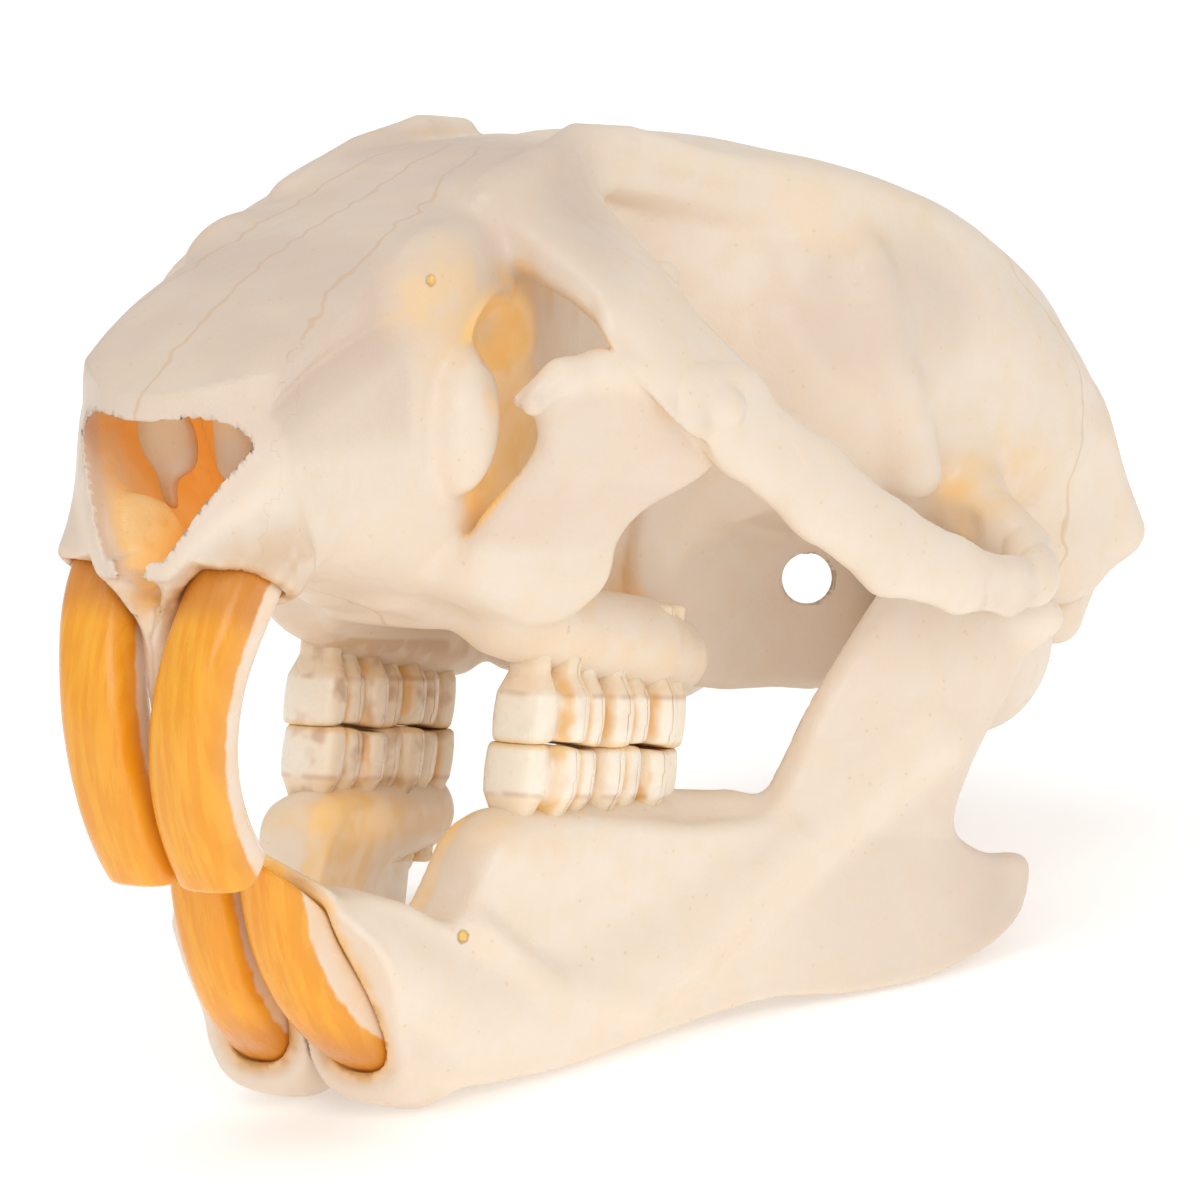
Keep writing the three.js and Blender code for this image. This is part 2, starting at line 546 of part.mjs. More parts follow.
// Thins a closed triangle mesh: the edge whose removal moves the surface least goes first
function thin({ points, faces }, target) {
  const quadric = points.map(() => new Float64Array(10));
  const around = points.map(() => new Set());
  const alive = faces.map(() => true);
  const normalOf = (p, q, r) => {
    const n = [0, 1, 2].map((i) => {
      const j = (i + 1) % 3;
      const k = (i + 2) % 3;
      return (q[j] - p[j]) * (r[k] - p[k]) - (q[k] - p[k]) * (r[j] - p[j]);
    });
    return [...n, Math.hypot(...n)];
  };
  faces.forEach((face, f) => {
    const [a, b, c, size] = normalOf(...face.map((v) => points[v]));
    face.forEach((v) => around[v].add(f));
    if (size < 1e-12) return;
    const n = [a / size, b / size, c / size];
    const d = -(n[0] * points[face[0]][0] + n[1] * points[face[0]][1] + n[2] * points[face[0]][2]);
    const row = [...n, d];
    for (const v of face) {
      let slot = 0;
      for (let i = 0; i < 4; i++) for (let j = i; j < 4; j++) quadric[v][slot++] += row[i] * row[j] * size;
    }
  });
  const errorAt = (q, [x, y, z]) =>
    q[0] * x * x + 2 * q[1] * x * y + 2 * q[2] * x * z + 2 * q[3] * x + q[4] * y * y + 2 * q[5] * y * z +
    2 * q[6] * y + q[7] * z * z + 2 * q[8] * z + q[9];
  const best = (a, b) => {
    const q = quadric[a].map((v, i) => v + quadric[b][i]);
    const p = points[a];
    const r = points[b];
    const [xx, xy, xz, xw, yy, yz, yw, zz, zw] = q;
    const det = xx * (yy * zz - yz * yz) - xy * (xy * zz - yz * xz) + xz * (xy * yz - yy * xz);
    const span = Math.hypot(p[0] - r[0], p[1] - r[1], p[2] - r[2]);
    const choices = [p, r, p.map((v, i) => (v + r[i]) / 2)];
    if (Math.abs(det) > 1e-7) {
      const s = [
        -(xw * (yy * zz - yz * yz) - xy * (yw * zz - yz * zw) + xz * (yw * yz - yy * zw)) / det,
        -(xx * (yw * zz - yz * zw) - xw * (xy * zz - yz * xz) + xz * (xy * zw - yw * xz)) / det,
        -(xx * (yy * zw - yw * yz) - xy * (xy * zw - yw * xz) + xw * (xy * yz - yy * xz)) / det,
      ];
      if (Math.hypot(...s.map((v, i) => v - choices[2][i])) < span) choices.unshift(s);
    }
    let found = null;
    for (const at of choices) {
      const cost = Math.max(errorAt(q, at), 0) + LONG_EDGE_COST * span ** 2;
      if (!found || cost < found.cost) found = { cost, at };
    }
    return found;
  };
  const heap = [];
  const swap = (i, j) => ([heap[i], heap[j]] = [heap[j], heap[i]]);
  const push = (item) => {
    let i = heap.push(item) - 1;
    while (i > 0 && heap[(i - 1) >> 1].cost > heap[i].cost) {
      swap(i, (i - 1) >> 1);
      i = (i - 1) >> 1;
    }
  };
  const pop = () => {
    const top = heap[0];
    const end = heap.pop();
    if (!heap.length) return top;
    heap[0] = end;
    for (let i = 0; ; ) {
      let least = i;
      for (const c of [2 * i + 1, 2 * i + 2]) {
        if (c < heap.length && heap[c].cost < heap[least].cost) least = c;
      }
      if (least === i) return top;
      swap(i, least);
      i = least;
    }
  };
  const version = new Uint32Array(points.length);
  const neighbours = (v) => new Set([...around[v]].flatMap((f) => faces[f]).filter((w) => w !== v));
  const offer = (a, b) => push({ a, b, stamp: version[a] + version[b] * 1e5, ...best(a, b) });
  points.forEach((_, v) => neighbours(v).forEach((w) => w > v && offer(v, w)));
  let left = faces.length;
  while (left > target && heap.length) {
    const { a, b, stamp, at } = pop();
    if (stamp !== version[a] + version[b] * 1e5 || !around[a].size || !around[b].size) continue;
    const nearB = neighbours(b);
    if ([...neighbours(a)].filter((v) => nearB.has(v)).length !== 2) continue;
    const folds = [a, b].some((v) =>
      [...around[v]].some((f) => {
        if (faces[f].includes(a) && faces[f].includes(b)) return false;
        const old = normalOf(...faces[f].map((w) => points[w]));
        const moved = normalOf(...faces[f].map((w) => (w === v ? at : points[w])));
        const agree = old[0] * moved[0] + old[1] * moved[1] + old[2] * moved[2];
        const corners = faces[f].map((w) => (w === v ? at : points[w]));
        const sides = corners.map((p, i) => Math.hypot(...p.map((c, k) => c - corners[(i + 1) % 3][k])));
        const reach = Math.max(...sides);
        return agree < 0.3 * old[3] * moved[3] || moved[3] < SLIVER * reach ** 2;
      }),
    );
    if (folds) continue;
    points[a] = at;
    quadric[b].forEach((v, i) => (quadric[a][i] += v));
    for (const f of around[b]) {
      if (faces[f].includes(a)) {
        alive[f] = false;
        left--;
        faces[f].forEach((v) => v !== b && around[v].delete(f));
      } else {
        faces[f] = faces[f].map((v) => (v === b ? a : v));
        around[a].add(f);
      }
    }
    around[b].clear();
    version[a]++;
    version[b]++;
    neighbours(a).forEach((w) => offer(a, w));
  }
  return { points, faces: faces.filter((_, f) => alive[f]) };
}


// Slides the points along the surface until its triangles are even, so that thinning starts clean.
const RELAX_ROUNDS = 3;
const RELAX_PULL = 0.6;
const PROBE = 0.02;
const LONGEST_MOVE = 0.12;
function relax({ points, faces }, field) {
  for (let round = 0; round < RELAX_ROUNDS; round++) {
    const sum = points.map(() => [0, 0, 0, 0]);
    for (const face of faces) {
      face.forEach((v, i) => {
        const next = points[face[(i + 1) % 3]];
        for (let k = 0; k < 3; k++) sum[v][k] += next[k];
        sum[v][3]++;
      });
    }
    points.forEach((point, v) => {
      const count = sum[v][3];
      if (!count) return;
      const at = point.map((c, k) => c + (sum[v][k] / count - c) * RELAX_PULL);
      const here = field(...at);
      const slope = [0, 1, 2].map((k) => {
        const beside = [...at];
        beside[k] += PROBE;
        return (field(...beside) - here) / PROBE;
      });
      const steep = Math.max(Math.hypot(...slope), 0.2);
      const move = clamp(here / steep, -LONGEST_MOVE, LONGEST_MOVE) / steep;
      points[v] = at.map((c, k) => c - move * slope[k]);
    });
  }
  return { points, faces };
}

// The skull is pitched about the side-to-side axis, then stood on the floor with its middle over the origin
const pitch = THREE.MathUtils.degToRad(REST_PITCH_DEG);
function solid(name, field, box, step, target, mirrored, material) {
  const { points, faces } = thin(relax(largest(surface(field, ...box, step)), field), target);
  const used = [...new Set(faces.flat())];
  const index = new Map(used.map((v, i) => [v, i]));
  const sign = mirrored ? -1 : 1;
  const positions = used.flatMap((v) => [points[v][0] * sign, points[v][1], points[v][2]]);
  const ring = faces.flatMap((f) => (mirrored ? [...f].reverse() : f).map((v) => index.get(v)));
  const geometry = new THREE.BufferGeometry();
  geometry.setAttribute("position", new THREE.Float32BufferAttribute(positions, 3));
  geometry.setIndex(ring);
  geometry.rotateX(-pitch);
  geometry.computeVertexNormals();
  const mesh = new THREE.Mesh(geometry, material);
  mesh.name = name;
  return mesh;
}
const boneWhite = new THREE.MeshStandardMaterial({ color: 0xead9c4, roughness: 0.55, metalness: 0 });
const jawWhite = new THREE.MeshStandardMaterial({ color: 0xefe0cb, roughness: 0.5, metalness: 0 });
const enamelOrange = new THREE.MeshStandardMaterial({ color: 0xe39a2c, roughness: 0.25, metalness: 0 });
const skull = new THREE.Group();
skull.name = "cotton_rat_skull";
skull.add(solid("cranium", cranium, [[-11.2, -1.6, -0.9], [11.2, 36.4, 15]], 0.36, 9000, false, boneWhite));
const PAIRS = [
  ["jugal", jugal, [[6, 12, 2.4], [11, 23, 9.5]], 0.25, 360, boneWhite],
  ["bulla", bulla, [[1.4, 24, -0.3], [7.4, 32, 5.8]], 0.35, 360, boneWhite],
  ["mandible", jaw, [[-0.2, 4, -9], [10.4, 27, 5.8]], 0.3, 2100, jawWhite],
  ["incisor_upper", upperIncisor, [[-0.3, -0.8, -4.4], [3, 4.4, 7.2]], 0.2, 420, enamelOrange],
  ["incisor_lower", lowerIncisor, [[-0.3, 3.6, -8.8], [3, 10.6, -1.6]], 0.2, 420, enamelOrange],
];
for (const [name, field, box, step, target, material] of PAIRS) {
  skull.add(solid(name + "_left", field, box, step, target, false, material));
  skull.add(solid(name + "_right", field, box, step, target, true, material));
}
const bounds = new THREE.Box3().setFromObject(skull);
const shift = bounds.getCenter(new THREE.Vector3()).negate().setZ(-bounds.min.z);
skull.children.forEach((mesh) => mesh.geometry.translate(0, shift.y, shift.z));
export default skull;
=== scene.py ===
# Cleaned skull of a hispid cotton rat, resting on its lower jaw, in Blender units of one metre.
# Every bone and tooth is shaped in the skull's own frame in millimetres: the snout points along -Y,
# the animal's left is +X, Y = 0 is at the upper incisors and Z = 0 is where the cheek teeth meet.
import math
import bpy
import numpy as np
from mathutils import Matrix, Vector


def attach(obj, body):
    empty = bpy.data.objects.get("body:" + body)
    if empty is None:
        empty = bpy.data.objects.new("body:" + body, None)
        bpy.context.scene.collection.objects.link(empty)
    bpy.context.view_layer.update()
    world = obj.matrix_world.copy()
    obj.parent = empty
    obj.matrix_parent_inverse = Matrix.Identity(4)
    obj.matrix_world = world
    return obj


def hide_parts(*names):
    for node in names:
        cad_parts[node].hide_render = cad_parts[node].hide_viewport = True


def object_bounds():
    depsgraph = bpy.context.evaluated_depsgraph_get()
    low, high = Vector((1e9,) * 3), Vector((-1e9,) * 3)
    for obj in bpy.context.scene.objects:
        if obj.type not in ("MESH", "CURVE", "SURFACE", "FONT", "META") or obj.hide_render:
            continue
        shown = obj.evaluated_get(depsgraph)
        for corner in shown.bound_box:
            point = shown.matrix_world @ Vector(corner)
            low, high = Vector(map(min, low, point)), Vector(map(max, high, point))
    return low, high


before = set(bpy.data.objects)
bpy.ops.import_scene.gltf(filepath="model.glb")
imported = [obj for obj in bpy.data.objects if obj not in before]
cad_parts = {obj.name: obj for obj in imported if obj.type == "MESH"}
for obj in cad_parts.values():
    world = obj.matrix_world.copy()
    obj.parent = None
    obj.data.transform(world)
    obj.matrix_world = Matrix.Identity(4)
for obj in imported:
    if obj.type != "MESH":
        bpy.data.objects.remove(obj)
cad_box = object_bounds()

# How the skull lies: it is pitched nose up about the side-to-side axis until the chin and both
# jaw angles touch the floor. Every mesh below is turned and lifted by this one step.
MILLIMETRES = 1000
REST_PITCH = math.radians(15)
REST_SHIFT_Y = -17.601272
REST_SHIFT_Z = 11.003705


def laid_down(points):
    c, s = math.cos(REST_PITCH), math.sin(REST_PITCH)
    x, y, z = points[..., 0], points[..., 1], points[..., 2]
    return np.stack([x, y * c + z * s + REST_SHIFT_Y, z * c - y * s + REST_SHIFT_Z], -1) / MILLIMETRES


def turned(vectors):
    c, s = math.cos(REST_PITCH), math.sin(REST_PITCH)
    x, y, z = vectors[..., 0], vectors[..., 1], vectors[..., 2]
    return np.stack([x, y * c + z * s, z * c - y * s], -1)


# The cranium: thin bones grown together along their sutures, hollow inside the braincase and the
# nose. It is shaped as one field, negative inside the bone, from profile curves, rods and curved
# sheets that blend into one another.
MESH_STEP = 0.12
JOINT_GAP = 0.06
BRAINCASE_WALL = 0.85
ROSTRUM_WALL = 0.45
ROSTRUM_END = 14
NOSE_DEPTH = 5.5
NOSE_FLOOR = 2.7
SOCKET_COLLAR = 0.42
SOCKET_TOP = 5.2
CAVITY_START = 18.6
CAVITY_END = 33.1
FORAMEN_HEIGHT = 6.5
FORAMEN_RADIUS = 1.75
FORAMEN_START = 31
SKULL_LENGTH_END = 34.4


def join(a, b, k=0.4):
    h = np.maximum(k - np.abs(a - b), 0) / k
    return np.minimum(a, b) - h * h * k / 4


def trim(a, b, k=0.2):
    return -join(-a, -b, k)


def most(*fields):
    return np.maximum.reduce(np.broadcast_arrays(*fields))


def curve(*knots):
    at = np.array([k[0] for k in knots], float)
    value = np.array([k[1] for k in knots], float)
    before = np.maximum(np.arange(len(at)) - 1, 0)
    after = np.minimum(np.arange(len(at)) + 1, len(at) - 1)
    slope = (value[after] - value[before]) / (at[after] - at[before])
    s = np.linspace(at[0], at[-1], 600)
    i = np.clip(np.searchsorted(at, s, "right") - 1, 0, len(at) - 2)
    h = at[i + 1] - at[i]
    t = (s - at[i]) / h
    table = (
        (1 + 2 * t) * (1 - t) ** 2 * value[i]
        + t * (1 - t) ** 2 * h * slope[i]
        + t * t * (3 - 2 * t) * value[i + 1]
        - t * t * (1 - t) * h * slope[i + 1]
    )
    return lambda q: np.interp(q, s, table)


SECTION_POWER = 2.6


def loft(wide, top, bottom, middle=0.5, sharpness=lambda y: SECTION_POWER):
    def field(x, y, z):
        w, t, b, power = wide(y), top(y), bottom(y), sharpness(y)
        c = b + (t - b) * middle
        h = np.where(z > c, t - c, c - b)
        f = ((np.abs(x) / w) ** power + (np.abs(z - c) / h) ** power) ** (1 / power) + 1e-6
        return np.hypot(x, z - c) * (1 - 1 / f)

    return field


def rod(*points, squash=(1, 1, 1), soft=0.0):
    def field(x, y, z):
        best = None
        for (ax, ay, az, ar), (bx, by, bz, br) in zip(points, points[1:]):
            dx, dy, dz = bx - ax, by - ay, bz - az
            px, py, pz = x - ax, y - ay, z - az
            t = np.clip((px * dx + py * dy + pz * dz) / (dx * dx + dy * dy + dz * dz), 0, 1)
            away = np.sqrt(
                ((px - dx * t) * squash[0]) ** 2
                + ((py - dy * t) * squash[1]) ** 2
                + ((pz - dz * t) * squash[2]) ** 2
            )
            near = away - ar - (br - ar) * t
            if best is None:
                best = near
            else:
                best = join(best, near, soft) if soft else np.minimum(best, near)
        return best

    return field


def strut(centre_y, centre_z, half_y, half_z, inner, outer):
    def field(x, y, z):
        along = y - centre_y(x)
        up = z - centre_z(x)
        reach = (np.abs(along) / half_y(x)) ** SECTION_POWER + (np.abs(up) / half_z(x)) ** SECTION_POWER
        f = reach ** (1 / SECTION_POWER) + 1e-6
        return trim(np.hypot(along, up) * (1 - 1 / f) * 0.8, np.maximum(inner - x, x - outer), 0.6)

    return field


def blob(centre, radii, yaw=0.0):
    c, s = math.cos(yaw), math.sin(yaw)

    def field(x, y, z):
        px = (x - centre[0]) * c + (y - centre[1]) * s
        py = (y - centre[1]) * c - (x - centre[0]) * s
        pz = z - centre[2]
        rx, ry, rz = radii
        k = np.sqrt((px / rx) ** 2 + (py / ry) ** 2 + (pz / rz) ** 2)
        g = np.sqrt((px / rx**2) ** 2 + (py / ry**2) ** 2 + (pz / rz**2) ** 2) + 1e-6
        return k * (k - 1) / g

    return field


def smooth_ring(points, each=6):
    p = np.array(points, float)
    n = len(p)
    ring = []
    for i in range(n):
        p0, p1, p2, p3 = (p[(i + o) % n] for o in (-1, 0, 1, 2))
        d0, d1, d2 = (np.hypot(*(b - a)) ** 0.5 for a, b in ((p0, p1), (p1, p2), (p2, p3)))
        m1 = ((p1 - p0) / d0 - (p2 - p0) / (d0 + d1) + (p2 - p1) / d1) * d1
        m2 = ((p2 - p1) / d1 - (p3 - p1) / (d1 + d2) + (p3 - p2) / d2) * d1
        for t in np.arange(each) / each:
            ring.append(
                p1 + m1 * t + (3 * (p2 - p1) - 2 * m1 - m2) * t**2 + (2 * (p1 - p2) + m1 + m2) * t**3
            )
    return np.array(ring)


def outline(*points, cell=0.1, margin=3.0):
    ring = smooth_ring(points)
    low = ring.min(0) - margin
    count = np.ceil((ring.max(0) + margin - low) / cell).astype(int) + 1
    y = low[0] + np.arange(count[0]) * cell
    z = low[1] + np.arange(count[1]) * cell
    y, z = np.meshgrid(y, z, indexing="ij")
    near = np.full(y.shape, 1e9)
    inside = np.zeros(y.shape, bool)
    for a, b in zip(ring, np.roll(ring, -1, 0)):
        e = b - a
        t = np.clip(((y - a[0]) * e[0] + (z - a[1]) * e[1]) / (e @ e), 0, 1)
        near = np.minimum(near, np.hypot(y - a[0] - e[0] * t, z - a[1] - e[1] * t))
        crosses = (a[1] > z) != (b[1] > z)
        inside ^= crosses & (y < a[0] + e[0] * (z - a[1]) / (e[1] if e[1] else 1e-9))
    table = np.where(inside, -near, near)

    def field(y, z):
        p = np.clip((y - low[0]) / cell, 0, count[0] - 1.001)
        q = np.clip((z - low[1]) / cell, 0, count[1] - 1.001)
        i, j = p.astype(int), q.astype(int)
        p, q = p - i, q - j
        front = table[i, j] * (1 - q) + table[i, j + 1] * q
        back = table[i + 1, j] * (1 - q) + table[i + 1, j + 1] * q
        return front * (1 - p) + back * p

    return field


def sheet(shape, centre, half):
    return lambda x, y, z: trim(np.abs(x - centre(y, z)) - half(y), shape(y, z), 0.35)


# Field of one incisor, needed here because each bone keeps clear of the tooth that it holds
TOOTH_POWER = 2.9


def incisor(middle, outer, inner, width, start, end, middle_x, chisel):
    def field(x, y, z):
        r = np.hypot(y - middle[0], z - middle[1])
        angle = np.arctan2(z - middle[1], middle[0] - y)
        depth, half = (outer - inner) / 2, width / 2
        u = np.abs(x - middle_x(angle)) / half
        v = np.abs(r - (outer + inner) / 2) / depth
        f = (u**TOOTH_POWER + v**TOOTH_POWER) ** (1 / TOOTH_POWER) + 1e-6
        section = np.hypot(u * half, v * depth) * (1 - 1 / f)
        ends = np.maximum(start - angle, angle - end) * outer
        return trim(trim(section, ends, 0.3), chisel(x, y, z), 0.15)

    return field


# Middle of the curve, in Y and Z, with its outer and inner radius
UPPER_ARC = ((5.55, 0.75), 6.0, 4.15)
upper_incisor = incisor(
    *UPPER_ARC, 1.84, -0.95, 0.74,
    curve((-0.95, 0.97), (-0.4, 1.08), (0.0, 1.3), (0.42, 1.63), (0.9, 1.68)),
    lambda x, y, z: (y - 1.3) * 0.24 - (z + 3.85) * 0.97,
)

rostrum_tube = loft(
    wide=curve((-0.6, 2.75), (1, 2.95), (3, 3.05), (5, 3.15), (8, 3.25), (11, 3.0), (13.5, 2.4)),
    top=curve(
        (-1, 7.1), (0, 7.95), (2.4, 9.62), (4.8, 10.85), (7.3, 11.9), (9.5, 12.8), (11.5, 13.4), (14, 13.8)
    ),
    bottom=curve((-0.6, 3.3), (1.6, 3.1), (2.4, 2.5), (3.2, 2.9), (4.4, 3.4), (8, 3.0), (10, 2.6)),
    middle=0.45,
    sharpness=curve((-1, 2.3), (4, 2.5), (8, 3.0), (12, 3.2)),
)
aperture_half = curve((2.6, 0.1), (3.0, 0.35), (3.5, 0.62), (4.2, 1.05), (5.2, 1.6), (6.4, 2.3), (7.4, 2.7))
nose_floor = blob((0, 0.2, 3.75), (0.7, 1.1, 0.85))
septum = rod((0, 0.8, 2.3, 0.42), (0, 0.8, 1.8, 0.42), (0, 1.0, 0.2, 0.25), (0, 1.15, -1.0, 0.1))
frontal = loft(
    wide=curve((10, 2.6), (13, 2.15), (16, 2.0), (18, 2.6), (20, 4.6)),
    top=curve((10, 12.9), (11.5, 13.4), (15, 13.9), (20, 14.2)),
    bottom=curve((10, 2.4), (14, 2.6), (18, 3.0), (19, 4.4), (21, 5.2)),
    sharpness=lambda y: 4,
)
roof = loft(
    wide=curve(
        (-1, 2.5), (2, 2.75), (9, 2.8), (12, 2.85), (15.4, 2.65), (17.2, 3.4), (19.3, 4.85), (21.3, 5.65),
        (24, 6.05), (27, 6.1), (30, 5.7), (31.6, 4.9),
    ),
    top=curve(
        (-1, 7.1), (0, 7.95), (2.4, 9.62), (4.8, 10.85), (7.3, 11.9), (9.5, 12.85), (11.5, 13.5),
        (15, 13.95), (20, 14.1), (24, 13.65), (27, 12.8), (30, 11.5), (32, 10.05),
    ),
    bottom=curve(
        (-1, 6), (2.4, 8.3), (7.3, 10.3), (12, 12.0), (15, 12.6), (20, 11.6), (24, 10.4), (27, 9.4),
        (31.6, 8.4),
    ),
    sharpness=lambda y: 3.6,
)
braincase_tube = loft(
    wide=curve(
        (16, 2.0), (17.6, 3.6), (19.3, 5.6), (21, 6.6), (24, 7.0), (28, 7.1), (31, 6.7), (33, 5.9),
        (34.6, 4.4),
    ),
    top=curve(
        (16, 13.8), (20, 13.95), (24, 13.55), (27, 12.7), (30, 11.4), (32, 9.9), (33.4, 8.65), (34.6, 7.35)
    ),
    bottom=curve((16, 7.5), (18, 6), (20, 5.1), (24, 4.7), (30, 4.5), (34.6, 4.5)),
    sharpness=lambda y: 2.7,
)
lambdoid = rod(
    (0, 32.45, 9.95, 0.4), (2.8, 32.15, 9.75, 0.4), (5.0, 31.55, 9.15, 0.4),
    (6.4, 31.2, 7.55, 0.4), (6.5, 32.6, 5.4, 0.6),
)
brow = rod(
    (2.75, 9.0, 12.3, 0.3), (2.55, 11.5, 13.35, 0.4), (2.2, 13.5, 13.95, 0.42), (2.35, 15.5, 14.0, 0.4),
    (3.4, 17.8, 13.6, 0.36), (4.9, 20.3, 12.75, 0.32), (5.9, 23.5, 11.7, 0.25),
)
condyle = blob((1.9, 34.7, 4.9), (0.85, 0.8, 1.2))
paroccipital = rod((5.3, 32.2, 5.0, 1.0), (5.2, 31.9, 3.2, 0.7))
mastoid = blob((5.7, 31.0, 5.2), (1.2, 2.0, 1.7))
squamosal_ridge = rod((6.0, 20.6, 11.6, 0.4), (6.5, 21.2, 9, 0.45), (6.6, 22.6, 6.6, 0.6))
alveolus = rod((2.6, 10.8, 2.8, 0.95), (2.95, 13, 2.5, 1.1), (3.15, 16, 2.2, 1.15), (3.1, 17.6, 1.95, 0.9))
palate = rod((0.9, 8.5, 3.3, 0.5), (1.2, 12, 3.2, 0.55), (1.3, 18.2, 3.3, 0.55))
pterygoid = sheet(
    outline(
        (17, 3.4), (18.2, 1.5), (20.5, 1.15), (23, 1.2), (25.4, 1.3), (26.7, 2.4), (26.9, 4.3), (25.6, 5.6),
        (17.5, 6.4),
    ),
    lambda y, z: 2.35 + (y - 18) * 0.06,
    lambda y: 0.3,
)
sightline = rod((5, 20.6, 3.9, 0.62), (0, 28.5, 3.8, 0.62), (4.2, 35, 3.6, 0.7))
plate_lean = curve((3, 2.7), (4.9, 3.45), (6.4, 4.6), (7.8, 5.4), (8.9, 5.6))
PLATE_HALF = 0.34
PLATE_DISH = 0.3


def plate_middle(y, z):
    return plate_lean(z) + 0.42 * (y - 7.9)


plate = sheet(
    outline(
        (7.4, 7.85), (7.95, 8.6), (8.9, 8.92), (10.4, 8.9), (12.2, 8.3), (13.4, 7.2), (12.8, 6.3),
        (11.9, 5.4), (11.7, 4.2), (11.4, 3.0), (9.6, 2.9), (8.5, 3.6), (8.25, 4.8), (8.35, 6.0),
        (8.45, 7.0), (8.1, 7.5),
    ),
    lambda y, z: plate_middle(y, z) - PLATE_DISH * np.exp(-(((z - 7.45 + 0.12 * (y - 9)) / 0.8) ** 2)),
    lambda y: PLATE_HALF,
)
plate_foot = rod((2.9, 8.9, 3.9, 0.8), (3.5, 10.4, 3.8, 0.95), (4.2, 11.5, 4.1, 0.7))
root_swelling = blob((2.8, 7.4, 10.3), (0.9, 2.2, 1.5))
cheek_root = strut(
    centre_y=curve((2.4, 11.7), (4.4, 11.1), (5.7, 10.95), (6.4, 11.0), (7.3, 12.4)),
    centre_z=curve((2.4, 12.15), (4.4, 11.1), (5.7, 10.3), (6.4, 9.5), (7.3, 8.1)),
    half_y=curve((2.4, 2.8), (4.4, 2.25), (5.7, 1.95), (6.4, 1.95), (7.3, 1.9)),
    half_z=curve((2.4, 1.1), (4.4, 0.9), (5.7, 0.8), (6.4, 0.85), (7.3, 1.0)),
    inner=1.5,
    outer=7.6,
)
root_knob = blob((4.95, 13.4, 10.9), (0.35, 0.35, 0.38))
plate_rim = rod(
    (5.35, 7.45, 7.8, 0.28), (5.6, 8.2, 8.45, 0.36), (6.0, 9.2, 8.72, 0.38),
    (6.7, 10.7, 8.55, 0.42), (7.35, 12.3, 7.9, 0.6),
    soft=0.3,
)
canal = blob((4.3, 9.9, 7.2), (1.25, 2.7, 2.5))
tear_slot = rod((3.9, 7.7, 9.6, 0.2), (3.9, 7.85, 8.8, 0.24))
arch_bar = rod(
    (6.4, 11.6, 8.6, 0.9), (7.3, 13.3, 7.5, 1.05), (8.3, 15.2, 6.2, 1.12), (9.1, 17.3, 4.9, 1.05),
    (9.7, 19.6, 4.3, 0.8), (9.95, 21.6, 4.1, 0.62), (9.85, 23.2, 4.3, 0.6),
    squash=(2, 1, 1),
    soft=0.4,
)
arch_back = rod(
    (9.75, 23.0, 4.35, 0.5), (8.8, 24.2, 5.0, 0.6), (7.3, 24.8, 5.6, 0.8), (6.3, 25.2, 6.2, 1.1)
)
capsule = blob((3.35, 7.5, 7.3), (0.85, 1.0, 1.7))
infraorbital = blob((3.95, 9.3, 9.4), (1.35, 1.75, 1.0))
canal_mouth = blob((4.7, 11.0, 9.1), (0.95, 3.0, 0.75), -0.3)
glenoid_hollow = blob((7.0, 23.6, 5.4), (0.7, 0.6, 0.55))
ear_hole = blob((6.9, 27.6, 4.9), (1.2, 1.0, 0.9))
bulla = blob((4.75, 28.5, 2.65), (2.05, 3.0, 2.4), 0.35)
JUGAL_FRONT = 14.0
JUGAL_BACK = 20.3
JUGAL_STEP = 0.025


def cheek_splint(x, y, z):
    span = np.maximum(JUGAL_FRONT - y - 0.35 * (z - 7), y - JUGAL_BACK + 0.5 * (z - 4.3)) / 1.1
    return trim(arch_bar(x, y, z) - JUGAL_STEP, span, 0.3)


def nasal_front(x):
    return 0.22 * x * x - 0.75


